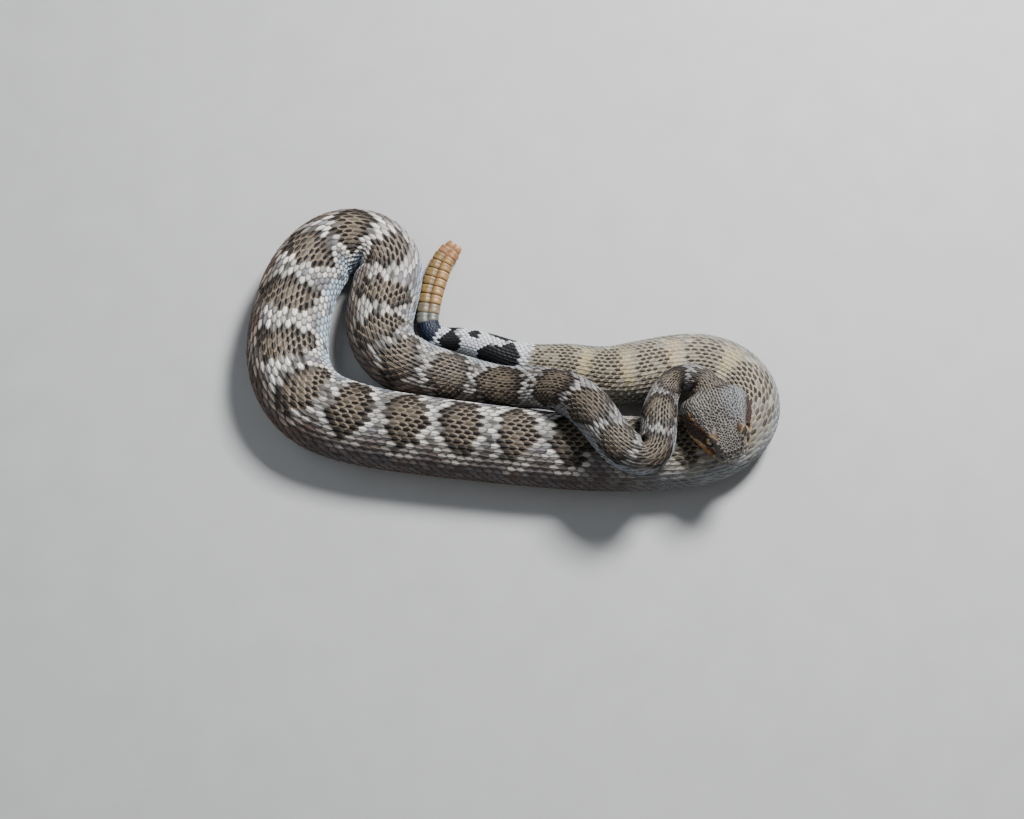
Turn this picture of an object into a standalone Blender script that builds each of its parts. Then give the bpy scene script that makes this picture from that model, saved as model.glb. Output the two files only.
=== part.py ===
"""A western diamondback rattlesnake at rest, life size, in metres with +Z up.

The body is one long tube that follows a route over the floor. It is parted into lengths with thin
cuts, and the head, lower jaw, eyes and rattle are solids of their own.
"""
import bmesh
import bpy
import numpy as np

MM = 0.001
GAP = 0.3 * MM                  # space left between neighbouring solids
CENTRE = (0.14 * MM, -8.26 * MM)  # middle of the animal's footprint along the drawn route

# Route of the belly line from the nape to the rattle's end: x, y and height above the floor, in mm.
NAPE = ((115.2, -54.3, 35.0), (113.6, -49.6, 35.1))
NECK = ((111.9, -44.8, 35.2), (109.6, -40.3, 35.1), (105.6, -37.6, 34.6), (100.2, -36.6, 33.6),
        (94.8, -38.2, 32.6), (90.3, -42.3, 32.0), (87.2, -48.0, 32.2), (85.2, -54.7, 33.2),
        (83.9, -62.1, 34.6), (83.2, -69.5, 35.6))
BEND = ((82.0, -76.5, 36.2), (79.2, -82.2, 36.6), (74.3, -84.9, 36.8), (68.2, -83.8, 36.9),
        (61.6, -79.2, 36.8), (55.4, -72.2, 36.3), (49.6, -63.4, 34.7), (43.4, -54.8, 30.8),
        (35.8, -46.9, 25.0), (26.6, -40.9, 18.6))
MIDDLE = ((15.5, -37.2, 13.5), (3.0, -35.3, 8.7), (-10.0, -32.4, 4.2), (-23.0, -29.0, 1.0),
          (-36.0, -26.2, 0), (-49.0, -23.6, 0), (-60.0, -20.0, 0))
INNER = ((-69.5, -14.4, 0), (-76.5, -5.2, 0), (-79.5, 6.5, 0), (-78.3, 20.0, 0),
         (-75.5, 33.5, 0), (-76.5, 46.0, 0), (-83.5, 55.5, 0))
LEFT = ((-95.0, 59.3, 0), (-108.5, 56.0, 0), (-119.8, 45.5, 0), (-127.5, 31.0, 0),
        (-132.0, 13.5, 0), (-134.0, -5.5, 0), (-132.0, -23.0, 0), (-124.8, -37.8, 0),
        (-112.0, -49.2, 0))
LOWER = ((-95.5, -55.8, 0), (-77.5, -60.2, 0), (-58.5, -63.2, 0), (-39.5, -65.8, 0),
         (-20.0, -68.2, 0), (0.0, -70.5, 0), (20.0, -72.6, 0), (40.0, -74.2, 0),
         (60.0, -75.0, 0), (80.0, -74.8, 0), (97.0, -73.6, 0))
RIGHT = ((113.0, -70.4, 0), (126.8, -64.0, 0), (135.6, -53.8, 0), (137.6, -41.8, 0),
         (132.2, -30.4, 0), (121.4, -22.9, 0), (108.0, -20.2, 0))
REAR = ((94.0, -21.0, 0), (79.0, -23.2, 0), (64.0, -24.8, 0), (49.0, -23.2, 0),
        (35.0, -19.4, 0), (21.5, -17.2, 0))
TAIL = ((8.5, -14.8, 0), (-3.5, -10.9, 0), (-15.0, -5.8, 0), (-25.5, -2.0, 0),
        (-35.0, -0.4, 0), (-43.5, 0.7, 0), (-49.4, 5.2, 0), (-51.4, 11.5, 0))
RATTLE = ((-50.9, 19.5, 0), (-49.1, 30.6, 0), (-46.2, 41.4, 0), (-41.8, 52.6, 0), (-35.8, 60.8, 0),
          (-31.4, 67.0, 0))
ROUTE = NAPE + NECK + BEND + MIDDLE + INNER + LEFT + LOWER + RIGHT + REAR + TAIL + RATTLE

# Body width in mm, and height as a share of the width, at distances in mm behind the head's join.
WIDTH = ((0, 21.5), (3, 18.4), (7, 16.2), (20, 15.6), (32, 17.2), (48, 20.4), (70, 21.6), (95, 23.2),
         (120, 25.0), (150, 24.8), (180, 25.2), (205, 28.4), (225, 32.4), (250, 37.4), (280, 41.0),
         (330, 42.0), (380, 46.0), (440, 48.2), (520, 46.6), (600, 45.0), (680, 43.4), (740, 41.0),
         (790, 38.8), (818, 36.8), (836, 33.0), (852, 28.8), (866, 25.2), (878, 22.2), (890, 20.4),
         (902, 18.8), (914, 16.8), (926, 15.4), (938, 14.5), (950, 14.0))
DEPTH = ((0, 0.78), (7, 0.92), (30, 0.94), (90, 0.88), (160, 0.84), (240, 0.82), (330, 0.78), (800, 0.78),
         (880, 0.82), (915, 0.84), (950, 0.76))
FOLD = 0.86       # the inner flank of a tight bend reaches at most this share of the bend's radius
WIDEST = 0.44     # height of the section's widest line, as a share of its depth

# The lengths the body is parted into: name, start and end in mm behind the head's join.
LENGTHS = (("neck", 0, 62), ("front_bend", 62, 150), ("middle_run", 150, 235),
           ("inner_loop", 235, 330), ("outer_loop", 330, 470), ("lower_run", 470, 680),
           ("right_loop", 680, 800), ("rear_body", 800, 868), ("tail", 868, 950))
SIDES = 18        # corners of a body section
STRIDE = 11 * MM  # spacing of the sections on a straight length
TURN = 0.21       # turn in radians between two sections of a bend

# Head, in mm: distance behind the snout's tip, then half widths and heights above the chin.
SNOUT = (126.0, -86.03, 34.6)
HEAD_TURN = 18.85  # degrees about Z
HEAD_JOIN = 43.5
HEAD = (
    # back, crown z, canthus half, canthus z, brow half, brow z, cheek half, cheek z, lip half, lip z
    (0.0, 9.0, 3.2, 8.8, 3.9, 7.8, 4.0, 6.6, 3.7, 4.9),
    (0.6, 10.3, 4.6, 10.0, 5.6, 8.4, 6.0, 6.7, 5.6, 4.6),
    (1.8, 11.4, 5.7, 11.2, 6.9, 9.0, 7.8, 6.9, 7.2, 4.4),
    (4.0, 12.8, 6.6, 12.9, 7.9, 10.0, 9.6, 7.1, 8.9, 4.2),
    (7.5, 14.4, 7.5, 14.8, 9.1, 11.3, 11.9, 7.4, 11.2, 4.0),
    (11.0, 15.6, 8.9, 16.3, 10.4, 12.4, 14.0, 7.8, 13.2, 4.0),
    (14.5, 16.4, 10.2, 17.2, 12.0, 13.2, 16.0, 8.2, 15.2, 4.3),
    (18.0, 17.0, 10.6, 17.6, 13.4, 13.8, 17.8, 8.6, 16.9, 4.8),
    (22.0, 17.9, 10.9, 17.8, 14.8, 14.4, 19.3, 9.2, 18.3, 5.4),
    (26.5, 18.9, 11.2, 18.2, 16.0, 15.0, 20.1, 9.8, 19.0, 6.1),
    (31.0, 19.5, 11.5, 18.4, 16.6, 15.4, 20.3, 10.2, 19.1, 6.6),
    (35.5, 19.3, 11.4, 18.0, 16.2, 15.2, 19.5, 10.1, 18.2, 6.5),
    (39.5, 18.3, 10.4, 17.2, 14.4, 14.6, 17.4, 9.7, 16.2, 6.1),
    (43.5, 16.8, 7.8, 16.0, 9.6, 13.2, 10.8, 8.4, 10.4, 5.6))
JAW = (
    # back, side half width, side z, underside z
    (0.0, 2.8, 2.6, 2.2),
    (0.6, 4.5, 2.2, 1.3),
    (1.8, 6.1, 2.0, 0.7),
    (4.0, 7.5, 1.9, 0.4),
    (7.5, 9.6, 1.8, 0.1),
    (14.5, 13.4, 1.9, 0.0),
    (22.0, 16.4, 2.4, 0.0),
    (31.0, 17.7, 3.0, 0.0),
    (35.5, 17.0, 3.2, 0.1),
    (39.5, 14.8, 3.2, 0.3),
    (43.5, 9.0, 2.8, 0.5))
HEAD_STATIONS = (0, 0.6, 1.8, 4, 6.5, 9.5, 12.5, 15.5, 18.5, 21.5, 24.5, 28, 31.3)
NAPE_STATIONS = (31.7, 35.5, 39.5, 41.6, 43.35)
NAPE_START = 39.5  # from here the head turns into the neck's own section
JAW_BACK = 31.0   # the mouth's corner
EYE = (10.2, 13.2, 12.9)  # centre of the left eye in the head's own axes
EYE_RADIUS = 2.6
NOSTRIL = (7.0, 2.6, 9.2)
NOSTRIL_RADIUS = 0.8
PIT = (10.4, 7.0, 8.9)
PIT_RADIUS = 1.1

# Rattle, in mm: it lies on its side, so its lobes are left and right of the groove along the top.
RATTLE_RINGS = (6.1, 6.4, 6.0, 5.7, 5.6, 5.6, 5.5, 5.2, 5.1)
RATTLE_WIDTHS = (14.0, 14.2, 14.5, 14.7, 14.8, 14.7, 14.4, 14.0, 13.4, 12.0)
RATTLE_THICKNESS = 0.64  # share of the width
RATTLE_STUB = 4.6        # broken ring at the end
RATTLE_GROOVE = 0.16     # depth of the groove as a share of half the thickness


def clear_scene():
    """Remove every object of the scene the script starts in."""
    for old in list(bpy.data.objects):
        bpy.data.objects.remove(old, do_unlink=True)


def make_material(name, color, roughness):
    """Return a plain Principled material."""
    material = bpy.data.materials.new(name)
    material.use_nodes = True
    shader = material.node_tree.nodes["Principled BSDF"]
    shader.inputs["Base Color"].default_value = (*color, 1.0)
    shader.inputs["Roughness"].default_value = roughness
    shader.inputs["Metallic"].default_value = 0.0
    material.diffuse_color = (*color, 1.0)
    return material


def natural_spline(points, steps):
    """Return points on the natural cubic spline through the given points."""
    count = len(points)
    span = np.linalg.norm(np.diff(points, axis=0), axis=1)
    system = np.eye(count)
    right = np.zeros_like(points)
    for i in range(1, count - 1):
        system[i, i - 1:i + 2] = span[i - 1], 2 * (span[i - 1] + span[i]), span[i]
        right[i] = 6 * ((points[i + 1] - points[i]) / span[i] - (points[i] - points[i - 1]) / span[i - 1])
    bend = np.linalg.solve(system, right)
    parts = []
    for i in range(count - 1):
        t = np.arange(steps)[:, None] / steps * span[i]
        slope = (points[i + 1] - points[i]) / span[i] - span[i] * (2 * bend[i] + bend[i + 1]) / 6
        twist = (bend[i + 1] - bend[i]) / (6 * span[i])
        parts.append(points[i] + slope * t + bend[i] / 2 * t**2 + twist * t**3)
    parts.append(points[-1:])
    return np.concatenate(parts)


def smooth_table(rows, at):
    """Read a table of (distance, value) rows in mm without overshoot, at distances in metres."""
    knots, values = np.array(rows, float).T
    knots = knots * MM
    at = np.clip(at, knots[0], knots[-1])
    span = np.diff(knots)
    rise = np.diff(values) / span
    slope = np.zeros(len(knots))
    steady = rise[:-1] * rise[1:] > 0
    both = np.where(steady, rise[:-1] + rise[1:], 1.0)
    slope[1:-1] = np.where(steady, 2 * rise[:-1] * rise[1:] / both, 0.0)
    i = np.clip(np.searchsorted(knots, at, side="right") - 1, 0, len(span) - 1)
    t = (at - knots[i]) / span[i]
    start = values[i] * (1 + 2 * t) * (1 - t)**2 + values[i + 1] * t * t * (3 - 2 * t)
    return start + span[i] * (slope[i] * t * (1 - t)**2 - slope[i + 1] * t * t * (1 - t))


class Spine:
    """The belly line with its frames: tailward, to the animal's left, and up."""

    def __init__(self):
        raw = natural_spline(np.array(ROUTE, float) * MM, 40)
        length = np.concatenate([[0], np.cumsum(np.linalg.norm(np.diff(raw, axis=0), axis=1))])
        even = np.linspace(0, length[-1], int(length[-1] / MM) + 1)
        self.points = np.stack([np.interp(even, length, raw[:, k]) for k in range(3)], 1)
        self.points[:, 0] -= CENTRE[0]
        self.points[:, 1] -= CENTRE[1]
        self.points[:, 2] = np.maximum(self.points[:, 2], 0)
        self.at = even - length[40 * len(NAPE)]
        self.tangent = np.gradient(self.points, axis=0)
        self.tangent /= np.linalg.norm(self.tangent, axis=1)[:, None]
        self.side = np.cross(self.tangent, (0, 0, 1.0))
        self.side /= np.linalg.norm(self.side, axis=1)[:, None]
        self.up = np.cross(self.side, self.tangent)
        change = np.gradient(self.tangent, even, axis=0)
        self.bend = np.einsum("ij,ij->i", change, self.side)
        self.turn = np.linalg.norm(change, axis=1)

    def read(self, values, at):
        """Return a per-point quantity of the spine at distances in metres."""
        if values.ndim == 1:
            return np.interp(at, self.at, values)
        return np.stack([np.interp(at, self.at, values[:, k]) for k in range(3)], 1)

    def stations(self, start, end):
        """Return distances from start to end, closer together in the bends."""
        fine = np.linspace(start, end, 200)
        density = 1 / STRIDE + self.read(self.turn, fine) / TURN
        steps = (density[1:] + density[:-1]) / 2 * np.diff(fine)
        total = np.concatenate([[0], np.cumsum(steps)])
        count = max(3, int(round(total[-1])))
        return np.interp(np.linspace(0, total[-1], count + 1), total, fine)


def body_outline(sides):
    """Return a unit section: a round back over a flatter belly, starting at the middle of the back."""
    angle = np.pi / 2 - np.arange(sides) / sides * 2 * np.pi
    across, height = np.cos(angle), np.sin(angle)
    back = height >= 0
    x = np.sign(across) * np.abs(across)**np.where(back, 0.92, 0.80)
    z = np.where(back, WIDEST + (1 - WIDEST) * np.abs(height)**0.95,
                 WIDEST - 1.05 * WIDEST * np.abs(height)**0.74)
    return x, np.maximum(z, 0)


def body_rings(spine, at, sides=SIDES):
    """Return the body's sections at the given distances, as an array of rings of points."""
    x, z = body_outline(sides)
    width = smooth_table(WIDTH, at) * MM
    depth = width * smooth_table(DEPTH, at)
    bend = spine.read(spine.bend, at)
    half = np.repeat(width[:, None] / 2, sides, 1)
    reach = FOLD / np.maximum(np.abs(bend), 1e-6)[:, None]
    folded = (half**-6.0 + reach**-6.0)**(-1 / 6)
    half = np.where(np.sign(x)[None, :] == np.sign(bend)[:, None], folded, half)
    centre = spine.read(spine.points, at)[:, None, :]
    side = spine.read(spine.side, at)[:, None, :]
    up = spine.read(spine.up, at)[:, None, :]
    return centre + side * (x[None, :] * half)[:, :, None] + up * (z[None, :] * depth[:, None])[:, :, None]


def loft(name, rings, material):
    """Make a closed solid through rings of equal size, with a flat face at each end."""
    mesh = bpy.data.meshes.new(name)
    bm = bmesh.new()
    loops = [[bm.verts.new(point) for point in ring] for ring in rings]
    count = len(loops[0])
    for first, second in zip(loops, loops[1:]):
        for i in range(count):
            j = (i + 1) % count
            bm.faces.new((first[i], first[j], second[j], second[i]))
    bm.faces.new(loops[0])
    bm.faces.new(loops[-1])
    bmesh.ops.recalc_face_normals(bm, faces=bm.faces)
    for face in bm.faces:
        face.smooth = len(face.verts) == 4
    bm.to_mesh(mesh)
    bm.free()
    mesh.materials.append(material)
    made = bpy.data.objects.new(name, mesh)
    bpy.context.scene.collection.objects.link(made)
    return made


def build_lengths(spine, skin, tail_skin):
    """Make the body's lengths, each a little short of its cuts."""
    for name, start, end in LENGTHS:
        at = spine.stations(start * MM + GAP / 2, end * MM - GAP / 2)
        loft(name, body_rings(spine, at), tail_skin if name == "tail" else skin)


def head_values(rows, back):
    """Read every column of a head table at a distance behind the snout's tip."""
    table = np.array(rows, float)
    return [float(smooth_table(np.stack([table[:, 0], column], 1), back * MM)) for column in table[:, 1:].T]


def head_to_body_axes():
    """Return the head's place and its across and back axes in the animal's frame."""
    turn = np.radians(HEAD_TURN)
    place = np.array((SNOUT[0] * MM - CENTRE[0], SNOUT[1] * MM - CENTRE[1], SNOUT[2] * MM))
    return place, np.array((np.cos(turn), np.sin(turn), 0)), np.array((-np.sin(turn), np.cos(turn), 0))


def into_head_axes(points):
    """Turn points of the animal's frame into the head's own axes."""
    place, across, back = head_to_body_axes()
    offset = points - place
    return np.stack([offset @ across, offset @ back, offset[:, 2]], 1)


def upper_half(back):
    """Return the half section above the lip, from the middle of the crown outward, in mm."""
    crown, canthus, canthus_z, brow, brow_z, cheek, cheek_z, lip, lip_z = head_values(HEAD, back)
    return [(0, crown), (canthus * 0.36, crown * 1.0), (canthus * 0.72, crown * 0.6 + canthus_z * 0.4),
            (canthus, canthus_z), (brow * 0.5 + canthus * 0.5, brow_z * 0.35 + canthus_z * 0.65),
            (brow, brow_z), (brow * 0.35 + cheek * 0.65, brow_z * 0.4 + cheek_z * 0.6),
            (cheek, cheek_z), (lip, lip_z)]


def lower_half(back):
    """Return the half section below the lip, from the lip to the middle of the underside, in mm."""
    side, side_z, under_z = head_values(JAW, back)
    return [(side, side_z), (side * 0.8, under_z * 0.8 + side_z * 0.2), (side * 0.42, under_z), (0, under_z)]


def closed_ring(half, back):
    """Mirror a half section that starts and ends on the middle plane into a ring."""
    full = half + [(-x, z) for x, z in reversed(half[1:-1])]
    return np.array([(x, back, z) for x, z in full]) * MM


def upper_ring(back):
    """Return a ring of the head that is closed along the mouth."""
    half = upper_half(back)
    lip, lip_z = half[-1]
    half[-1] = (lip, lip_z + GAP / MM / 2)
    shelf = [(lip * share, lip_z + GAP / MM / 2) for share in (0.86, 0.6, 0.3, 0)]
    return closed_ring(half + shelf, back)


def whole_ring(spine, back):
    """Return a ring behind the mouth, which turns into the neck's own section."""
    ring = closed_ring(upper_half(back) + lower_half(back), back)
    share = np.clip((back - NAPE_START) / (HEAD_JOIN - NAPE_START), 0, 1)
    share = share * share * (3 - 2 * share)
    neck = body_rings(spine, np.array([(back - HEAD_JOIN) * MM]), len(ring))[0]
    return ring * (1 - share) + into_head_axes(neck) * share


def jaw_ring(back):
    """Return a ring of the lower jaw."""
    lip, lip_z = head_values(HEAD, back)[7:9]
    top = lip_z - GAP / MM / 2
    shelf = [(0, top), (lip * 0.5, top), (lip - 0.3, top)]
    return closed_ring(shelf + lower_half(back), back)


def add_ball(bm, centre, radius, mirrored):
    """Add a ball, and its mirror image across the head's middle plane when asked."""
    for sign in (1, -1) if mirrored else (1,):
        made = bmesh.ops.create_uvsphere(bm, u_segments=12, v_segments=8, radius=radius * MM)
        shift = (centre[0] * sign * MM, centre[1] * MM, centre[2] * MM)
        bmesh.ops.translate(bm, verts=made["verts"], vec=shift)


def ball_object(name, centre, radius, material=None, mirrored=False):
    """Make a ball, or a mirrored pair of balls, in the head's own axes."""
    mesh = bpy.data.meshes.new(name)
    bm = bmesh.new()
    add_ball(bm, centre, radius, mirrored)
    for face in bm.faces:
        face.smooth = True
    bm.to_mesh(mesh)
    bm.free()
    if material:
        mesh.materials.append(material)
    made = bpy.data.objects.new(name, mesh)
    bpy.context.scene.collection.objects.link(made)
    return made


def cut_hollow(target, cutter):
    """Sink a hollow into the target with a hidden cutter."""
    cutter.hide_render = True
    cutter.display_type = "WIRE"
    hollow = target.modifiers.new(cutter.name, "BOOLEAN")
    hollow.operation = "DIFFERENCE"
    hollow.solver = "EXACT"
    hollow.object = cutter


def build_head(spine, skin, pale_skin, eye_material):
    """Make the head, the lower jaw and the eyes, and place them on the front of the neck."""
    place, _, _ = head_to_body_axes()
    pose = bpy.data.objects.new("head_pose", None)
    pose.location = place
    pose.rotation_euler = (0, 0, np.radians(HEAD_TURN))
    bpy.context.scene.collection.objects.link(pose)
    rings = [upper_ring(back) for back in HEAD_STATIONS]
    rings += [whole_ring(spine, back) for back in NAPE_STATIONS]
    head = loft("head", rings, skin)
    jaw_stations = [0.9] + [back for back in HEAD_STATIONS if 0.9 < back < JAW_BACK] + [JAW_BACK]
    jaw = loft("lower_jaw", [jaw_ring(back) for back in jaw_stations], pale_skin)
    left = ball_object("eye_left", EYE, EYE_RADIUS, eye_material)
    right = ball_object("eye_right", (-EYE[0], EYE[1], EYE[2]), EYE_RADIUS, eye_material)
    sockets = ball_object("eye_sockets", EYE, EYE_RADIUS + GAP / MM, mirrored=True)
    nostrils = ball_object("nostrils", NOSTRIL, NOSTRIL_RADIUS, mirrored=True)
    pits = ball_object("heat_pits", PIT, PIT_RADIUS, mirrored=True)
    for cutter in (sockets, nostrils, pits):
        cut_hollow(head, cutter)
    for piece in (head, jaw, left, right, sockets, nostrils, pits):
        piece.parent = pose


def rattle_outline():
    """Return the rattle's unit section: two lobes with a groove between them on both broad sides."""
    angle = np.pi / 2 - np.arange(SIDES) / SIDES * 2 * np.pi
    across, height = np.cos(angle), np.sin(angle)
    x = np.sign(across) * np.abs(across)**0.8
    z = np.sign(height) * np.abs(height)**0.7
    return x, z * (1 - RATTLE_GROOVE * np.exp(-(x / 0.22)**2))


def build_rattle(spine, horn):
    """Make the rattle, a row of rings that narrow at the seams between them."""
    x, z = rattle_outline()
    start = LENGTHS[-1][2] * MM + GAP / 2
    rings = []
    stations = []
    for pitch, width in zip(RATTLE_RINGS, RATTLE_WIDTHS):
        for share, swell in ((0.0, 0.90), (0.24, 1.0), (0.78, 0.985)):
            stations.append((start + share * pitch * MM, width * swell))
        start += pitch * MM
    stations.append((start, RATTLE_WIDTHS[-2] * 0.88))
    stations.append((start + RATTLE_STUB * 0.4 * MM, RATTLE_WIDTHS[-1]))
    stations.append((start + RATTLE_STUB * MM, RATTLE_WIDTHS[-1] * 0.8))
    lift = RATTLE_WIDTHS[3] * RATTLE_THICKNESS * 0.5 * MM
    for at, width in stations:
        at = np.array([at])
        centre, side, up = (spine.read(field, at)[0] for field in (spine.points, spine.side, spine.up))
        half = width * MM / 2
        ring = centre + up * lift + side[None, :] * (x * half)[:, None]
        rings.append(ring + up[None, :] * (z * half * RATTLE_THICKNESS)[:, None])
    loft("rattle", rings, horn)


def main():
    """Build the whole animal."""
    clear_scene()
    spine = Spine()
    skin = make_material("scaled_skin", (0.33, 0.27, 0.21), 0.62)
    tail_skin = make_material("tail_skin", (0.60, 0.59, 0.56), 0.60)
    pale_skin = make_material("jaw_skin", (0.52, 0.45, 0.36), 0.60)
    eye_material = make_material("eye", (0.28, 0.22, 0.12), 0.12)
    horn = make_material("rattle_horn", (0.52, 0.34, 0.14), 0.42)
    build_head(spine, skin, pale_skin, eye_material)
    build_lengths(spine, skin, tail_skin)
    build_rattle(spine, horn)


main()
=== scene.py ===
"""The looks of a western diamondback rattlesnake at rest, life size: skin, scales, eyes and rattle.

Shapes are worked out in mm and written to the meshes in metres. A place on the animal is given by
its distance behind the head's join and by its share of the girth, from -0.5 to 0.5: nought along
the middle of the back, positive to the animal's left, one half along the middle of the belly.
"""
import logging
from dataclasses import dataclass, field
from enum import Enum

import bpy
import numpy as np
from mathutils.bvhtree import BVHTree
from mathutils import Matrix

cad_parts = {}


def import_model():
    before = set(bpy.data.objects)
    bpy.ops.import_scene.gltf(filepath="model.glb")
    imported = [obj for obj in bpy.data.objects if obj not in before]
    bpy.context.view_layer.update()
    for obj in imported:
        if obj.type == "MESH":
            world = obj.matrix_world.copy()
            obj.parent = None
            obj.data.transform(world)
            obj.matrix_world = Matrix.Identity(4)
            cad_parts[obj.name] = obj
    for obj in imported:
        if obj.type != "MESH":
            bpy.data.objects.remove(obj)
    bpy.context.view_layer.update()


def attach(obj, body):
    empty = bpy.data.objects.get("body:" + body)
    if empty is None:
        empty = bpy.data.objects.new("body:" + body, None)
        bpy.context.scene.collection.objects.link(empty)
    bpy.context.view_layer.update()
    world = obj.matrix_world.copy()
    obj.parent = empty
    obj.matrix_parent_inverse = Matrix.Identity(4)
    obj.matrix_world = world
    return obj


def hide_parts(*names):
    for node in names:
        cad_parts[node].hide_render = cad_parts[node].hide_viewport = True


Array = np.ndarray
MM = 0.001
LOG = logging.getLogger("rattlesnake")
CENTRE = (0.14, -8.26)   # middle of the footprint along the drawn route, in mm

# The belly line from the nape to the rattle's end: x, y and height above the floor, in mm.
NAPE = ((115.2, -54.3, 35.0), (113.6, -49.6, 35.1))
NECK = ((111.9, -44.8, 35.2), (109.6, -40.3, 35.1), (105.6, -37.6, 34.6), (100.2, -36.6, 33.6),
        (94.8, -38.2, 32.6), (90.3, -42.3, 32.0), (87.2, -48.0, 32.2), (85.2, -54.7, 33.2),
        (83.9, -62.1, 34.6), (83.2, -69.5, 35.6))
BEND = ((82.0, -76.5, 36.2), (79.2, -82.2, 36.6), (74.3, -84.9, 36.8), (68.2, -83.8, 36.9),
        (61.6, -79.2, 36.8), (55.4, -72.2, 36.3), (49.6, -63.4, 34.7), (43.4, -54.8, 30.8),
        (35.8, -46.9, 25.0), (26.6, -40.9, 18.6))
MIDDLE = ((15.5, -37.2, 13.5), (3.0, -35.3, 8.7), (-10.0, -32.4, 4.2), (-23.0, -29.0, 1.0),
          (-36.0, -26.2, 0), (-49.0, -23.6, 0), (-60.0, -20.0, 0))
INNER = ((-69.5, -14.4, 0), (-76.5, -5.2, 0), (-79.5, 6.5, 0), (-78.3, 20.0, 0),
         (-75.5, 33.5, 0), (-76.5, 46.0, 0), (-83.5, 55.5, 0))
LEFT = ((-95.0, 59.3, 0), (-108.5, 56.0, 0), (-119.8, 45.5, 0), (-127.5, 31.0, 0),
        (-132.0, 13.5, 0), (-134.0, -5.5, 0), (-132.0, -23.0, 0), (-124.8, -37.8, 0),
        (-112.0, -49.2, 0))
LOWER = ((-95.5, -55.8, 0), (-77.5, -60.2, 0), (-58.5, -63.2, 0), (-39.5, -65.8, 0),
         (-20.0, -68.2, 0), (0.0, -70.5, 0), (20.0, -72.6, 0), (40.0, -74.2, 0),
         (60.0, -75.0, 0), (80.0, -74.8, 0), (97.0, -73.6, 0))
RIGHT = ((113.0, -70.4, 0), (126.8, -64.0, 0), (135.6, -53.8, 0), (137.6, -41.8, 0),
         (132.2, -30.4, 0), (121.4, -22.9, 0), (108.0, -20.2, 0))
REAR = ((94.0, -21.0, 0), (79.0, -23.2, 0), (64.0, -24.8, 0), (49.0, -23.2, 0),
        (35.0, -19.4, 0), (21.5, -17.2, 0))
TAIL = ((8.5, -14.8, 0), (-3.5, -10.9, 0), (-15.0, -5.8, 0), (-25.5, -2.0, 0),
        (-35.0, -0.4, 0), (-43.5, 0.7, 0), (-49.4, 5.2, 0), (-51.4, 11.5, 0))
RATTLE = ((-50.9, 19.5, 0), (-49.1, 30.6, 0), (-46.2, 41.4, 0), (-41.8, 52.6, 0), (-35.8, 60.8, 0),
          (-31.4, 67.0, 0))
ROUTE = NAPE + NECK + BEND + MIDDLE + INNER + LEFT + LOWER + RIGHT + REAR + TAIL + RATTLE

# Body width in mm, and height as a share of the width, by distance behind the head's join.
WIDTH = ((0, 21.5), (3, 18.4), (7, 16.2), (20, 15.6), (32, 17.2), (48, 20.4), (70, 21.6), (95, 23.2),
         (120, 25.0), (150, 24.8), (180, 25.2), (205, 28.4), (225, 32.4), (250, 37.4), (280, 41.0),
         (330, 42.0), (380, 46.0), (440, 48.2), (520, 46.6), (600, 45.0), (680, 43.4), (740, 41.0),
         (790, 38.8), (818, 36.8), (836, 33.0), (852, 28.8), (866, 25.2), (878, 22.2), (890, 20.4),
         (902, 18.8), (914, 16.8), (926, 15.4), (938, 14.5), (950, 14.0))
DEPTH = ((0, 0.78), (7, 0.92), (30, 0.94), (90, 0.88), (160, 0.84), (240, 0.82), (330, 0.78), (800, 0.78),
         (880, 0.82), (915, 0.84), (950, 0.76))
FOLD = 0.86
WIDEST = 0.44
BODY_END = 950.0
PATCH = 0.003            # size of a scale's patch on the unwrap
VENT = 868.0

# Head, in mm: distance behind the snout's tip, then half widths and heights above the chin.
SNOUT = (126.0, -86.03, 34.6)
HEAD_TURN = 18.85
HEAD_LENGTH = 43.5
SNOUT_DOME = 0.9
HEAD = (
    (0.0, 9.0, 3.2, 8.8, 3.9, 7.8, 4.0, 6.6, 3.7, 4.9),
    (0.6, 10.3, 4.6, 10.0, 5.6, 8.4, 6.0, 6.7, 5.6, 4.6),
    (1.8, 11.4, 5.7, 11.2, 6.9, 9.0, 7.8, 6.9, 7.2, 4.4),
    (4.0, 12.8, 6.6, 12.9, 7.9, 10.0, 9.6, 7.1, 8.9, 4.2),
    (7.5, 14.4, 7.5, 14.8, 9.1, 11.3, 11.9, 7.4, 11.2, 4.0),
    (11.0, 15.6, 8.9, 16.3, 10.4, 12.4, 14.0, 7.8, 13.2, 4.0),
    (14.5, 16.4, 10.2, 17.2, 12.0, 13.2, 16.0, 8.2, 15.2, 4.3),
    (18.0, 17.0, 10.6, 17.6, 13.4, 13.8, 17.8, 8.6, 16.9, 4.8),
    (22.0, 17.9, 10.9, 17.8, 14.8, 14.4, 19.3, 9.2, 18.3, 5.4),
    (26.5, 18.9, 11.2, 18.2, 16.0, 15.0, 20.1, 9.8, 19.0, 6.1),
    (31.0, 19.5, 11.5, 18.4, 16.6, 15.4, 20.3, 10.2, 19.1, 6.6),
    (35.5, 19.3, 11.4, 18.0, 16.2, 15.2, 19.5, 10.1, 18.2, 6.5),
    (39.5, 18.3, 10.4, 17.2, 14.4, 14.6, 17.4, 9.7, 16.2, 6.1),
    (43.5, 16.8, 7.8, 16.0, 9.6, 13.2, 10.8, 8.4, 10.4, 5.6))
JAW = (
    (0.0, 2.8, 2.6, 2.2), (0.6, 4.5, 2.2, 1.3), (1.8, 6.1, 2.0, 0.7), (4.0, 7.5, 1.9, 0.4),
    (7.5, 9.6, 1.8, 0.1), (14.5, 13.4, 1.9, 0.0), (22.0, 16.4, 2.4, 0.0), (31.0, 17.7, 3.0, 0.0),
    (35.5, 17.0, 3.2, 0.1), (39.5, 14.8, 3.2, 0.3), (43.5, 9.0, 2.8, 0.5))
LIP_CORNER = 8
MOUTH_END = 31.0
NAPE_START = 39.5
LAST_LIP = -13.0         # distance behind the head's join where the last lip plate ends
EYE_CLEAR = 3.9          # how far scales keep from the middle of the eye, the pit and the nostril
PIT_CLEAR = 1.5
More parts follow.
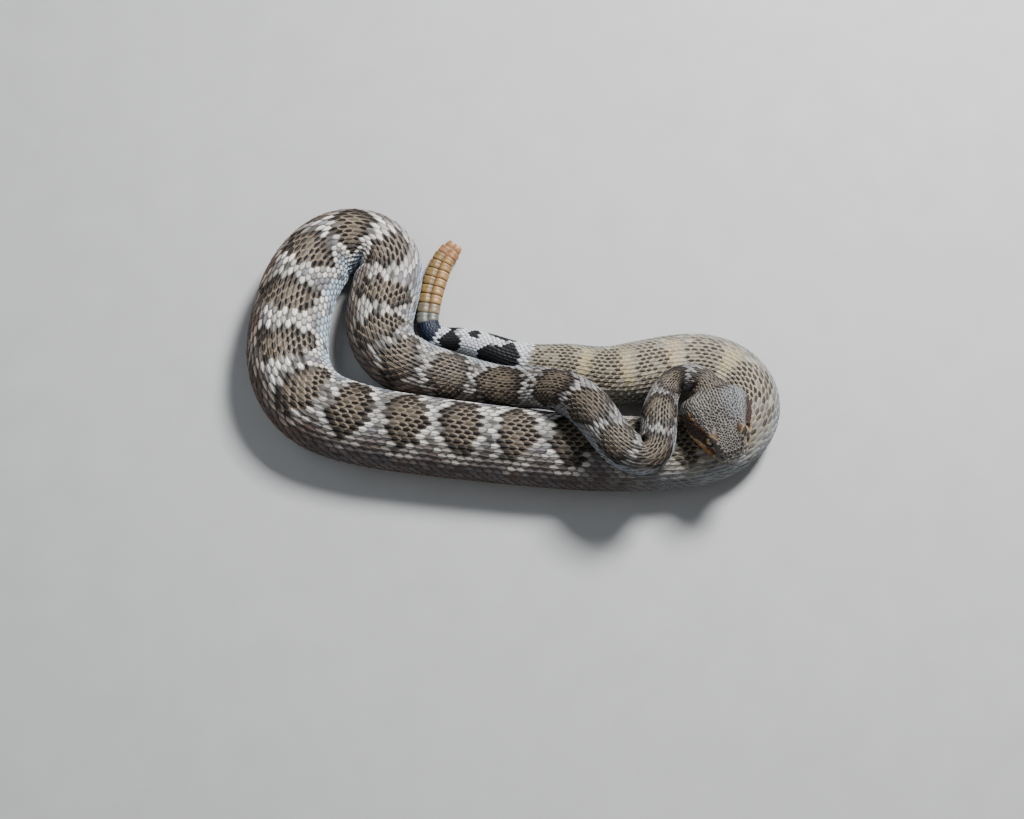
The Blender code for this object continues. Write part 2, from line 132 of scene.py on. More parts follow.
NOSTRIL_CLEAR = 1.6
EYE_RING = 3.45          # radius of the ring of small plates round the eye
EYE = (10.2, 13.2, 12.9)
EYE_RADIUS = 2.6
BROW = (7.9, 13.4)       # middle of the left brow plate: across and behind the snout
BROW_LENGTH = 6.8
NOSTRIL = (7.0, 2.6, 9.2)
PIT = (10.4, 7.0, 8.9)
FRONT_PLATES = (         # across, height, half width, half height and colour
    (0, 6.9, 1.75, 2.0, "snout"), (0, 3.35, 1.5, 0.8, "snout"), (2.95, 5.65, 1.0, 0.85, "snout"),
    (4.9, 5.6, 0.85, 0.85, "snout"), (6.6, 5.6, 0.78, 0.85, "snout"), (8.0, 5.6, 0.55, 0.8, "snout"),
    (2.95, 7.7, 1.0, 1.05, "crown_rim"), (4.95, 7.6, 0.85, 0.95, "crown_rim"),
    (1.35, 9.55, 1.2, 0.5, "crown_rim"), (3.7, 9.4, 0.95, 0.55, "crown_rim"),
    (2.6, 3.3, 0.95, 0.75, "snout"), (4.5, 3.4, 0.8, 0.72, "snout"), (6.2, 3.5, 0.7, 0.7, "snout"))
TOP_PLATES = (           # behind the snout's tip, across, length and width
    (7.9, 6.9, 2.9, 2.2), (5.5, 6.0, 2.5, 2.1), (3.4, 4.9, 2.2, 2.0), (3.2, 2.9, 2.2, 2.0),
    (3.0, 0.95, 2.1, 1.8), (1.3, 2.0, 1.7, 2.0))
SIDE_PLATES = (          # behind the snout's tip, height, length, width and turn
    (1.0, 8.1, 1.4, 2.5, 0.0), (4.3, 8.9, 1.8, 2.7, 0.0), (5.8, 11.3, 2.2, 1.6, 0.15),
    (8.3, 13.1, 2.4, 1.6, 0.2), (8.9, 11.4, 2.5, 1.4, 0.1), (5.3, 7.6, 1.3, 1.6, 0.0),
    (8.9, 8.3, 1.5, 2.0, 0.0), (7.1, 6.9, 2.2, 1.1, 0.0), (7.0, 10.8, 1.5, 1.2, 0.1))
CHIN_PLATES = ((6.6, 1.75, 6.6, 3.0), (4.0, 4.6, 3.4, 2.2))  # behind, off the middle, length and width
FACE_LINES = (           # start and end behind the snout and above the lip, half width, colour, strength
    ((13.6, 9.6), (29.0, 5.6), 3.0, "mask_core", 0.95), ((14.8, 14.2), (31.0, 9.6), 0.55, "ochre", 0.75),
    ((11.5, 6.4), (29.5, 0.6), 0.75, "pale_line", 0.9), ((10.4, 7.2), (6.6, 1.8), 1.8, "mask_core", 0.85),
    ((8.8, 8.8), (4.4, 2.4), 0.6, "pale_line", 0.8))

# Rattle, in mm.
RATTLE_RINGS = (6.1, 6.4, 6.0, 5.7, 5.6, 5.6, 5.5, 5.2, 5.1)
RATTLE_WIDTHS = (14.0, 14.2, 14.5, 14.7, 14.8, 14.7, 14.4, 14.0, 13.4, 12.0)
RATTLE_THICKNESS = 0.64
RATTLE_STUB = 4.6

# How the coat is laid, by distance behind the head's join in mm.
ROWS = ((0, 25), (60, 25), (150, 27), (300, 29), (640, 29), (700, 31), (760, 31), (820, 27), (850, 24),
        (868, 22), (885, 20), (915, 18), (950, 15))
HEAD_ROW_GAP = ((-46, 1.0), (-38, 1.15), (-30, 1.32), (-20, 1.45), (-12, 1.55), (-5, 1.7), (0, 1.8))
PITCH = ((-46, 1.2), (-34, 1.45), (-20, 1.75), (-12, 2.05), (0, 2.6), (50, 3.2), (100, 3.8),
         (200, 4.2), (260, 4.8), (330, 5.3), (420, 5.5), (600, 5.3), (680, 4.7), (760, 4.1),
         (850, 3.8), (868, 3.6), (900, 3.1), (950, 2.7))
BACK_SHARE = ((-13, 0.30), (0, 0.36), (868, 0.355), (880, 0.345), (950, 0.34))
ROLL = ((0, 0), (100, -10), (180, -18), (240, -8), (280, 4), (340, 8), (400, 2), (470, -5),
        (520, -13), (640, -13), (720, -5), (760, 0), (950, 0))  # degrees, positive to the left
BLOTCHES = (0, 24, 49, 72, 91, 113, 138, 178, 215, 245, 265, 288, 315, 339, 367, 399, 430, 460,
            492, 525, 558, 590, 622, 654, 686, 717, 748, 779, 809, 836, 860)


class Half(Enum):
    """A half of the animal, with the sign of its girth share."""

    LEFT = 1
    RIGHT = -1


def smooth_table(rows: tuple, at: Array) -> Array:
    """Read a table of rows without overshoot.

    Args:
        rows: Pairs of distance and value.
        at: Distances to read it at.

    Returns:
        The values at those distances.
    """
    knots, values = np.array(rows, float).T
    at = np.clip(at, knots[0], knots[-1])
    span = np.diff(knots)
    rise = np.diff(values) / span
    slope = np.zeros(len(knots))
    steady = rise[:-1] * rise[1:] > 0
    both = np.where(steady, rise[:-1] + rise[1:], 1.0)
    slope[1:-1] = np.where(steady, 2 * rise[:-1] * rise[1:] / both, 0.0)
    i = np.clip(np.searchsorted(knots, at, side="right") - 1, 0, len(span) - 1)
    t = (at - knots[i]) / span[i]
    start = values[i] * (1 + 2 * t) * (1 - t)**2 + values[i + 1] * t * t * (3 - 2 * t)
    return start + span[i] * (slope[i] * t * (1 - t)**2 - slope[i + 1] * t * t * (1 - t))


def plain_table(rows: tuple, at: Array) -> Array:
    """Read a table of rows along straight lines, at the given distances."""
    knots, values = np.array(rows, float).T
    return np.interp(at, knots, values)


def ramp(low: float, high: float, value: Array) -> Array:
    """Return nought below low, one above high and a smooth rise between, also where low > high."""
    t = np.clip((value - low) / (high - low), 0, 1)
    return t * t * (3 - 2 * t)


def natural_spline(points: Array, steps: int) -> Array:
    """Return points on the natural cubic spline through the given points.

    Args:
        points: The points it goes through.
        steps: Points made for each stretch between two of them.

    Returns:
        The points of the curve, its end among them.
    """
    count = len(points)
    span = np.linalg.norm(np.diff(points, axis=0), axis=1)
    system = np.eye(count)
    right = np.zeros_like(points)
    for i in range(1, count - 1):
        system[i, i - 1:i + 2] = span[i - 1], 2 * (span[i - 1] + span[i]), span[i]
        right[i] = 6 * ((points[i + 1] - points[i]) / span[i] - (points[i] - points[i - 1]) / span[i - 1])
    bend = np.linalg.solve(system, right)
    parts = []
    for i in range(count - 1):
        t = np.arange(steps)[:, None] / steps * span[i]
        slope = (points[i + 1] - points[i]) / span[i] - span[i] * (2 * bend[i] + bend[i + 1]) / 6
        twist = (bend[i + 1] - bend[i]) / (6 * span[i])
        parts.append(points[i] + slope * t + bend[i] / 2 * t**2 + twist * t**3)
    parts.append(points[-1:])
    return np.concatenate(parts)


def rounded(corners: Array, steps: int) -> Array:
    """Round a half section that starts and ends on the middle plane.

    Args:
        corners: Its corners, across and up.
        steps: Points made for each side.

    Returns:
        Points of a centripetal curve through the corners.
    """
    flip = np.array((-1.0, 1.0))
    full = np.concatenate([corners[1:2] * flip, corners, corners[-2:-1] * flip])
    gaps = np.maximum(np.linalg.norm(np.diff(full, axis=0), axis=1), 1e-4)**0.5
    knots = np.concatenate([[0], np.cumsum(gaps)])
    u = np.arange(steps)[:, None] / steps
    parts = []
    for i in range(1, len(full) - 2):
        p, k = full[i - 1:i + 3], knots[i - 1:i + 3]
        t = k[1] + u * (k[2] - k[1])
        a = [(k[j + 1] - t) / (k[j + 1] - k[j]) * p[j] + (t - k[j]) / (k[j + 1] - k[j]) * p[j + 1]
             for j in range(3)]
        b = [(k[j + 2] - t) / (k[j + 2] - k[j]) * a[j] + (t - k[j]) / (k[j + 2] - k[j]) * a[j + 1]
             for j in range(2)]
        parts.append((k[2] - t) / (k[2] - k[1]) * b[0] + (t - k[1]) / (k[2] - k[1]) * b[1])
    parts.append(corners[-1:])
    return np.concatenate(parts)


def evenly(curve: Array, count: int) -> Array:
    """Return count points that lie evenly along a curve, its ends among them."""
    length = np.concatenate([[0], np.cumsum(np.linalg.norm(np.diff(curve, axis=0), axis=1))])
    want = np.linspace(0, length[-1], count)
    return np.stack([np.interp(want, length, curve[:, k]) for k in range(curve.shape[1])], 1)


def tone(code: str) -> Array:
    """Turn a colour written as six hexadecimal digits into linear light."""
    value = np.array([int(code[i:i + 2], 16) / 255 for i in (0, 2, 4)])
    return np.where(value <= 0.04045, value / 12.92, ((value + 0.055) / 1.055)**2.4)


def blend(first: Array, second: Array, share: Array) -> Array:
    """Mix two colours, or rows of colours, by a share for each row."""
    share = np.clip(share, 0, 1)[:, None]
    return first * (1 - share) + second * share


@dataclass
class Route:
    """The belly line, in mm, with its frame: tailward, to the animal's left, and up."""

    points: Array = field(init=False)
    at: Array = field(init=False)
    side: Array = field(init=False)
    up: Array = field(init=False)
    bend: Array = field(init=False)

    def __post_init__(self) -> None:
        """Lay the curve and work out its frame at every millimetre."""
        raw = natural_spline(np.array(ROUTE, float), 40)
        length = np.concatenate([[0], np.cumsum(np.linalg.norm(np.diff(raw, axis=0), axis=1))])
        even = np.linspace(0, length[-1], int(length[-1]) + 1)
        self.points = np.stack([np.interp(even, length, raw[:, k]) for k in range(3)], 1)
        self.points -= (*CENTRE, 0)
        self.points[:, 2] = np.maximum(self.points[:, 2], 0)
        self.at = even - length[40 * len(NAPE)]
        tangent = np.gradient(self.points, axis=0)
        tangent /= np.linalg.norm(tangent, axis=1)[:, None]
        self.side = np.cross(tangent, (0, 0, 1.0))
        self.side /= np.linalg.norm(self.side, axis=1)[:, None]
        self.up = np.cross(self.side, tangent)
        self.bend = np.einsum("ij,ij->i", np.gradient(tangent, even, axis=0), self.side)

    def read(self, values: Array, at: Array) -> Array:
        """Return a quantity of the belly line at distances in mm."""
        if values.ndim == 1:
            return np.interp(at, self.at, values)
        return np.stack([np.interp(at, self.at, values[:, k]) for k in range(3)], 1)


@dataclass
class Hide:
    """The skin's surface, as rings of points along the animal.

    A ring's places are even along each half of its girth, from the middle of the belly over the
    right flank, the back and the left flank round to the belly again.
    """

    route: Route
    columns: int = 192
    head_step: float = 0.4
    coat_depth: tuple = ((-46, 0.3), (-10, 0.4), (0, 0.45), (60, 0.55), (240, 0.7), (330, 0.85),
                         (800, 0.8), (868, 0.6), (950, 0.45))
    at: Array = field(init=False)
    outer: Array = field(init=False)
    point: Array = field(init=False)
    normal: Array = field(init=False)
    girth: Array = field(init=False)
    lip: Array = field(init=False)

    def __post_init__(self) -> None:
        """Make the rings, press the head's folds in and lower the skin by the coat's depth."""
        dome = -HEAD_LENGTH - SNOUT_DOME * np.array((0.995, 0.93, 0.8, 0.6, 0.35, 0.15))
        head = np.arange(-HEAD_LENGTH, -self.head_step / 2, self.head_step)
        body = np.arange(0, BODY_END + 0.5, 1.0)
        self.at = np.concatenate([dome, head, body])
        lips = []
        rings = []
        for at in np.concatenate([dome, head]):
            ring, lip = self._head_ring(at)
            rings.append(ring)
            lips.append(lip)
        self.outer = np.concatenate([np.array(rings), self._body_rings(body)])
        self.lip = np.concatenate([lips, np.full(len(body), lips[-1])])
        self.normal = self._normals(self.outer)
        self.girth = self.girth_of(self.outer)
        self.point = self.outer + self.normal * self._folds()[:, :, None]
        self.point -= self._normals(self.point) * smooth_table(self.coat_depth, self.at)[:, None, None]
        self.point[:, :, 2] = np.maximum(self.point[:, :, 2], 0.3)
        self.normal = self._normals(self.point)

    def shares(self) -> Array:
        """Return the girth share of each column."""
        return np.arange(self.columns + 1) / self.columns - 0.5

    def _body_halves(self, at: Array) -> list:
        """Return the right and the left half section at distances along the body, from the back down."""
        angle = np.linspace(np.pi / 2, -np.pi / 2, 121)
        across, height = np.cos(angle).clip(0), np.sin(angle)
        back = height >= 0
        x = across**np.where(back, 0.92, 0.80)
        z = np.where(back, WIDEST + (1 - WIDEST) * np.abs(height)**0.95,
                     WIDEST - 1.05 * WIDEST * np.abs(height)**0.74).clip(0)
        width = smooth_table(WIDTH, at)
        depth = width * smooth_table(DEPTH, at)
        bend = self.route.read(self.route.bend, at)
        reach = FOLD / np.maximum(np.abs(bend), 1e-6)
        folded = ((width / 2)**-6.0 + reach**-6.0)**(-1 / 6)
        halves = []
        for side in (Half.RIGHT, Half.LEFT):
            half = np.where(np.sign(bend) == side.value, folded, width / 2)
            centre, out, up = (self.route.read(field_, at)[:, None, :]
                               for field_ in (self.route.points, self.route.side, self.route.up))
            halves.append(centre + out * (side.value * half[:, None] * x)[:, :, None]
                          + up * (depth[:, None] * z)[:, :, None])
        return halves

    def _body_rings(self, at: Array) -> Array:
        """Return the rings of the body at the given distances."""
        right, left = self._body_halves(at)
        count = self.columns // 2 + 1
        rings = [np.concatenate([evenly(r, count)[::-1], evenly(l, count)[1:]]) for r, l in zip(right, left)]
        return np.array(rings)

    def _head_ring(self, at: float) -> tuple:
        """Return a ring of the head and the girth share of its lip."""
        back = max(at + HEAD_LENGTH, 0.0)
        read = [[float(smooth_table(tuple((row[0], row[k]) for row in rows), np.array(back)))
                 for k in range(1, len(rows[0]))] for rows in (HEAD, JAW)]
        crown, canthus, canthus_z, brow, brow_z, cheek, cheek_z, lip, lip_z = read[0]
        side, side_z, under_z = read[1]
        corners = np.array((
            (0, crown), (canthus * 0.36, crown), (canthus * 0.72, crown * 0.6 + canthus_z * 0.4),
            (canthus, canthus_z), ((brow + canthus) / 2, brow_z * 0.35 + canthus_z * 0.65),
            (brow, brow_z), (brow * 0.35 + cheek * 0.65, brow_z * 0.4 + cheek_z * 0.6),
            (cheek, cheek_z), (lip, lip_z), (side, side_z),
            (side * 0.8, under_z * 0.8 + side_z * 0.2), (side * 0.42, under_z), (0, under_z)))
        curve = rounded(corners, 14)
        length = np.concatenate([[0], np.cumsum(np.linalg.norm(np.diff(curve, axis=0), axis=1))])
        share = length[LIP_CORNER * 14] / length[-1] / 2
        half = evenly(curve, self.columns // 2 + 1)
        flat = np.concatenate([half[::-1] * (-1, 1), half[1:]])
        if at < -HEAD_LENGTH:
            t = (-HEAD_LENGTH - at) / SNOUT_DOME
            middle = np.array((0, (crown + under_z) / 2))
            flat = middle + (flat - middle) * np.sqrt(1 - t * t)
        ring = head_to_world(np.stack([flat[:, 0], np.full(len(flat), at + HEAD_LENGTH), flat[:, 1]], 1))
        mix = float(ramp(NAPE_START, HEAD_LENGTH, np.array(back)))
        if mix > 0:
            ring = ring * (1 - mix) + self._body_rings(np.array([at]))[0] * mix
        return ring, share

    def _normals(self, points: Array) -> Array:
        """Return outward normals of the rings."""
        along = np.gradient(points, axis=0)
        wrapped = np.concatenate([points[:, -2:-1], points, points[:, 1:2]], 1)
        around = wrapped[:, 2:] - wrapped[:, :-2]
        normal = np.cross(around, along)
        normal /= np.maximum(np.linalg.norm(normal, axis=2), 1e-9)[:, :, None]
        return normal

    def _folds(self) -> Array:
        """Return how far each point of the head is pressed in or raised, in mm."""
        rows = self.at < 0
        push = np.zeros(self.outer.shape[:2])
        local = world_to_head(self.outer[rows])
        x, back, z = local[..., 0], local[..., 1], local[..., 2]
        share = self.shares()[None, :]
        top = ramp(0.16, 0.05, np.abs(share))
        head = -0.55 * np.exp(-(x / 2.8)**2) * ramp(17, 23, back) * ramp(40, 34, back) * top
        ring = np.hypot(back - EYE[1], z - EYE[2])
        beside = (np.abs(x) > 8) & (np.abs(share) < 0.3)
        head += np.where(beside, 0.5 * np.exp(-((ring - 3.3) / 0.8)**2) - 0.9 * ramp(2.7, 1.6, ring), 0)
        pit = np.hypot(back - PIT[1], z - PIT[2])
        pressed = -1.9 * np.exp(-(pit / 0.95)**4) + 0.2 * np.exp(-((pit - 1.7) / 0.5)**2)
        head += np.where(np.abs(x) > 5, pressed, 0)
        nostril = np.hypot(back - NOSTRIL[1], z - NOSTRIL[2])
        head += np.where(np.abs(x) > 3, -1.5 * np.exp(-(nostril / 0.85)**4), 0)
        above = (self.lip[rows][:, None] - np.abs(share)) * self.girth_of(self.outer[rows])[:, None]
        fade = ramp(-44.3, -43.1, self.at[rows]) * ramp(-12.4, -14.5, self.at[rows])
        head -= 0.6 * np.exp(-(above / 0.4)**2) * fade[:, None]
        push[rows] = head
        return push

    @staticmethod
    def girth_of(rings: Array) -> Array:
        """Return the girth of each ring."""
        return np.linalg.norm(np.diff(rings, axis=1), axis=2).sum(1)

    def roll(self, at: Array) -> Array:
        """Return how far the back's middle is turned, as a share of the girth."""
        return smooth_table(ROLL, at) / 360

    def sample(self, at: Array, share: Array) -> tuple:
        """Return points of the skin and its normals at distances and girth shares."""
        row = np.interp(at, self.at, np.arange(len(self.at)))
        column = ((share + 0.5) % 1.0) * self.columns
        r0 = np.minimum(row.astype(int), len(self.at) - 2)
        c0 = np.minimum(column.astype(int), self.columns - 1)
        fr, fc = (row - r0)[..., None], (column - c0)[..., None]
        found = []
        for grid in (self.point, self.normal):
            near = grid[r0, c0] * (1 - fc) + grid[r0, c0 + 1] * fc
            far = grid[r0 + 1, c0] * (1 - fc) + grid[r0 + 1, c0 + 1] * fc
            found.append(near * (1 - fr) + far * fr)
        found[1] /= np.maximum(np.linalg.norm(found[1], axis=-1), 1e-9)[..., None]
        return found[0], found[1]

    def girth_at(self, at: Array) -> Array:
        """Return the girth in mm at distances."""
        return np.interp(at, self.at, self.girth)

    def lip_at(self, at: Array) -> Array:
        """Return the lip's girth share at distances."""
        return np.interp(at, self.at, self.lip)

    def share_of_height(self, back: float, height: float) -> float:
        """Return the girth share on the left where the head's side has a height, in mm."""
        return self._search(back, 2, height)

    def share_of_reach(self, back: float, reach: float) -> float:
        """Return the girth share on the left where the head's top is as far out as reach, in mm."""
        return self._search(back, 0, reach)

    def _search(self, back: float, axis: int, value: float) -> float:
        """Walk from the crown down the left side until a head coordinate passes a value."""
        row = int(round(float(np.interp(back - HEAD_LENGTH, self.at, np.arange(len(self.at))))))
        half = world_to_head(self.outer[row])[self.columns // 2:, axis]
        start = 8 if axis == 2 else 0
        passed = half[start:] <= value if axis == 2 else half[start:] >= value
        found = start + int(np.argmax(passed)) if passed.any() else len(half) // 2
        return found / self.columns


def head_frame() -> tuple:
    """Return the snout's place and the head's across and back axes, in mm."""
    turn = np.radians(HEAD_TURN)
    place = np.array((SNOUT[0] - CENTRE[0], SNOUT[1] - CENTRE[1], SNOUT[2]))
    return place, np.array((np.cos(turn), np.sin(turn), 0)), np.array((-np.sin(turn), np.cos(turn), 0))


def head_to_world(points: Array) -> Array:
    """Turn points in the head's own axes into the animal's frame."""
    place, across, back = head_frame()
    return place + points[..., 0:1] * across + points[..., 1:2] * back + points[..., 2:3] * (0, 0, 1.0)


def world_to_head(points: Array) -> Array:
    """Turn points of the animal's frame into the head's own axes."""
    place, across, back = head_frame()
    offset = points - place
    return np.stack([offset @ across, offset @ back, offset[..., 2]], -1)


@dataclass(frozen=True)
class Palette:
    """The colours of the animal, each a middle and a margin of a scale."""

    blotch_core: str = "1b110d"
    blotch_rim: str = "8a7c6a"
    border_core: str = "060303"
    border_rim: str = "372a22"
    chevron_core: str = "fbf8f0"
    chevron_rim: str = "7f7a73"
    flank_core: str = "86838a"
    flank_rim: str = "56534f"
    spot_core: str = "3a2d2b"
    spot_rim: str = "6a5e5b"
    # Painted light: the pale bluish cast of sky light on the flanks that face it.
    sky_light_core: str = "c9dcea"
    sky_light_rim: str = "7f8c98"
    temple: str = "9aa1a7"
    ochre: str = "94683c"
    # Painted light: warm orange light thrown onto the lips of the right side.
    glow_orange: str = "b9792c"
    # Painted sheen: blue-black for the blue gloss on the black ring next to the rattle.
    blue_sheen: str = "18243c"
    # Painted shade: a warm dark brown for the shaded lower flanks, with warm reflected light in it.
    low_shade_core: str = "684d39"
    low_shade_rim: str = "3a2c21"
    rear_core: str = "453a30"
    rear_rim: str = "a7a08c"
    yellow: str = "cdbb8c"
    tail_core: str = "e9ecef"
    tail_rim: str = "7c8088"
    tail_black: str = "040406"
    crown_core: str = "2e2926"
    crown_rim: str = "8b8680"
    fleck: str = "2c2521"
    mask_core: str = "1f1510"
    mask_rim: str = "4e382b"
    pale_line: str = "b99f74"
    labial: str = "a8885c"
    snout: str = "857c70"
    belly: str = "cfc4a6"
    belly_rim: str = "9b9076"


@dataclass(frozen=True)
class TailMark:
    """A dark mark on the tail: distance, girth share, half length in mm, half width as a share, colour."""

    at: float
    share: float
    length: float
    width: float
    colour: str = "tail_black"


# The last mark is the black ring next to the rattle, painted blue-black as a painted sheen.
TAIL_MARKS = (
    TailMark(894, -0.12, 7.2, 0.22), TailMark(903, -0.19, 9.0, 0.19), TailMark(901, 0.20, 10.0, 0.09),
    TailMark(917, 0.085, 3.0, 0.07), TailMark(931, -0.10, 6.6, 0.18), TailMark(929, 0.30, 5.5, 0.20),
    TailMark(948, 0.0, 8.0, 0.75, "blue_sheen"))


@dataclass
class Markings:
    """The colours by place. The skin and the coat both read them.

    The tables go by distance behind the head's join. The lengths are shares of the spacing of the
    blotches and the widths are girth shares; the others say how strong an effect is.
    """

    palette: Palette = field(default_factory=Palette)
    blotch_length: tuple = ((0, 0.45), (190, 0.45), (250, 0.41), (330, 0.385), (470, 0.40), (950, 0.40))
    blotch_width: tuple = ((0, 0.235), (190, 0.235), (250, 0.19), (300, 0.155), (470, 0.158), (950, 0.158))
    chevron_strength: tuple = ((0, 0.35), (60, 0.4), (150, 0.5), (235, 0.7), (320, 0.95), (400, 1.0))
    # Painted shade: how bright each stretch is painted; the neck, the front bend and the lower run are
    # darker.
    depth: tuple = ((0, 0.64), (150, 0.70), (230, 0.79), (290, 0.94), (330, 1), (450, 1), (500, 0.78),
                    (660, 0.76), (700, 0.86), (760, 0.90), (800, 1), (868, 1))
    # Painted sky light: how strongly each flank, left and right, is painted pale and bluish.
    left_sky_light: tuple = ((0, 0.1), (150, 0.2), (190, 0.8), (330, 0.9), (350, 0.0), (640, 0.0), (690, 0.5),
                       (760, 0.5), (800, 0.2))
    right_sky_light: tuple = ((0, 0.5), (15, 1.0), (110, 1.0), (140, 0.2), (270, 0.1), (305, 1.0), (480, 1.0),
                        (540, 0.3), (868, 0.2))
    # Painted shade with warm reflected light on the lower flanks, by side and by stretch.
    left_bounce_shade: tuple = ((0, 0.2), (300, 0.2), (350, 0.8), (460, 0.8), (500, 0.45), (640, 0.45), (700, 0.2),
                        (868, 0.1))
    right_bounce_shade: tuple = ((0, 0.5), (150, 0.35), (230, 0.85), (300, 0.75), (340, 0.1), (640, 0.1),
                         (700, 0.4), (868, 0.3))
    fading: tuple = ((0, 1.0), (630, 1.0), (690, 0.40), (730, 0.22), (780, 0.16), (868, 0.14))

    def colour(self, name: str) -> Array:
        """Return a named colour of the palette in linear light."""
        return tone(getattr(self.palette, name))

    def rows(self, count: int, *names: str) -> tuple:
        """Return count rows of each named colour."""
        return tuple(np.repeat(self.colour(name)[None], count, 0) for name in names)

    def over(self, shades: tuple, names: tuple, share: Array, middle: Array = 1.0,
             margin: float = 1.0) -> tuple:
        """Lay two colours of the palette over the middles and the margins.

        Args:
            shades: The middle and the margin colours so far.
            names: The colour for the middles and the one for the margins.
            share: How far they cover, for each place.
            middle: What the first is multiplied by.
            margin: What the second is multiplied by.

        Returns:
            The middle and the margin colours.
        """
        core, rim = (self.colour(name) for name in names)
        return blend(shades[0], core * middle, share), blend(shades[1], rim * margin, share)

    def phase(self, at: Array) -> tuple:
        """Return the place between blotches, nought at a blotch, and the spacing there in mm."""
        marks = np.array(BLOTCHES, float)
        count = np.interp(at, marks, np.arange(len(marks)))
        spacing = np.interp(at, (marks[1:] + marks[:-1]) / 2, np.diff(marks))
        return count - np.round(count), spacing

    def body(self, at: Array, share: Array, girth: Array, luck: Array) -> tuple:
        """Colour places on the body.

        Args:
            at: Distances behind the head's join, in mm.
            share: Girth shares from the middle of the back.
            girth: The girth there, in mm.
            luck: Three random numbers for each place, from 0 to 1.

        Returns:
            The middle and the margin colours, one row for each place.
        """
        t, spacing = self.phase(at)
        wide = np.abs(share)
        reach = wide / smooth_table(self.blotch_width, at)
        form = ((np.abs(t) / smooth_table(self.blotch_length, at))**1.7 + reach**1.7)**(1 / 1.7)
        form = form + 0.30 * (luck[:, 0] - 0.5)
        left, right = share > 0, share <= 0
        # Painted sky light: flanks that face the sky are painted pale and bluish, with fewer dark specks.
        sky = plain_table(self.left_sky_light, at) * left + plain_table(self.right_sky_light, at) * right
        sky = sky * ramp(0.13, 0.20, wide)
        core, rim = self.over(self.rows(len(at), "flank_core", "flank_rim"), ("sky_light_core", "sky_light_rim"), sky)
        core = core * (0.72 + 0.5 * luck[:, 1:2])
        speck = ramp(0.60, 0.92, luck[:, 1]) * (0.75 - 0.35 * sky)
        core = blend(core, self.colour("flank_rim") * 0.45, speck)
        chevron = ramp(1.46, 1.22, form) * ramp(0.26, 0.18, wide) * plain_table(self.chevron_strength, at)
        ragged = chevron * (0.55 + 0.45 * ramp(0.1, 0.5, luck[:, 2]))
        core, rim = self.over((core, rim), ("chevron_core", "chevron_rim"), ragged, 0.85 + 0.2 * luck[:, 2:3])
        odd = (luck[:, 1] > 0.78) & (chevron > 0.3) & (np.abs(t) > 0.40)
        core = blend(core, self.colour("border_core"), odd * 0.85)
        for place, half_size, turn in ((0.225, 3.4, 0.0), (0.275, 2.6, 0.5)):
            away = np.abs(np.abs(t) - turn) * spacing
            spot = ramp(half_size + 1.2, half_size - 0.8, np.hypot(away, (wide - place) * girth))
            spot = spot * ramp(120, 240, at)
            core = blend(core, self.colour("spot_core") * (0.7 + 0.6 * luck[:, 2:3]), spot * 0.8)
            rim = blend(rim, self.colour("spot_rim"), spot * 0.7)
        # Painted shade: the lower flanks are darkened to a warm brown, as shade with warm reflected light.
        bounce_shade = plain_table(self.left_bounce_shade, at) * left + plain_table(self.right_bounce_shade, at) * right
        bounce_shade = bounce_shade * ramp(0.07, 0.145, wide)
        core, rim = self.over((core, rim), ("low_shade_core", "low_shade_rim"), bounce_shade, 0.35 + 1.05 * luck[:, 2:3])
        inside = ramp(1.05, 0.91, form)
        border = ramp(0.58, 0.82, form)
        mottle = 0.55 + 0.9 * luck[:, 2:3]
        dull = (luck[:, 0] > 0.75) * 0.7
        middle = blend(self.colour("blotch_core") * mottle, self.colour("blotch_rim") * 0.6, dull)
        core = blend(core, blend(middle, self.colour("border_core"), border), inside)
        rim = blend(rim, blend(self.colour("blotch_rim") * (0.75 + 0.25 * mottle),
                               self.colour("border_rim"), border * 0.8), inside)
        # Painted shade: a dark brown band low on both flanks, next to the belly.
        core, rim = self.over((core, rim), ("low_shade_core", "low_shade_rim"), ramp(0.285, 0.335, wide) * 0.8)
        strength = plain_table(self.fading, at)
        pale_core, pale_rim = self._rear(at, t, wide, sky, luck)
        # Painted shade: whole stretches are darkened by this table.
        depth = plain_table(self.depth, at)[:, None]
        return blend(pale_core, core, strength) * depth, blend(pale_rim, rim, strength) * depth

    def _rear(self, at: Array, t: Array, wide: Array, sky: Array, luck: Array) -> tuple:
        """Return the faded colours of the rear, with yellow bars between the faint blotches."""
        patch = ramp(0.30, 0.45, np.abs(t)) * ramp(0.17, 0.06, wide) * ramp(735, 760, at)
        core, rim = self.rows(len(at), "rear_core", "rear_rim")
        core = blend(core, self.colour("yellow") * 0.8, patch * 0.55) * (0.6 + 0.8 * luck[:, 1:2])
        core = blend(core, self.colour("rear_rim") * 0.8, (luck[:, 2] > 0.86) * 0.8)
        rim = blend(rim, self.colour("yellow"), patch * 0.9)
        # Painted sky light on the rear's flanks as well.
        pale = self.colour("sky_light_core")
        return blend(core, pale, sky * 0.3), blend(rim, pale, sky * 0.55)

    def tail(self, at: Array, share: Array, luck: Array) -> tuple:
        """Colour places on the tail, as the body's colouring does."""
        core = self.colour("tail_core") * (0.82 + 0.25 * luck[:, 1:2])
        rim, = self.rows(len(at), "tail_rim")
        for mark in TAIL_MARKS:
            apart = (share - mark.share + 0.5) % 1.0 - 0.5
            form = np.hypot((at - mark.at) / mark.length, apart / mark.width) + 0.16 * (luck[:, 0] - 0.5)
            names = (mark.colour, "tail_black")
            core, rim = self.over((core, rim), names, ramp(1.06, 0.94, form), 1.0, 1.8)
        return core, rim

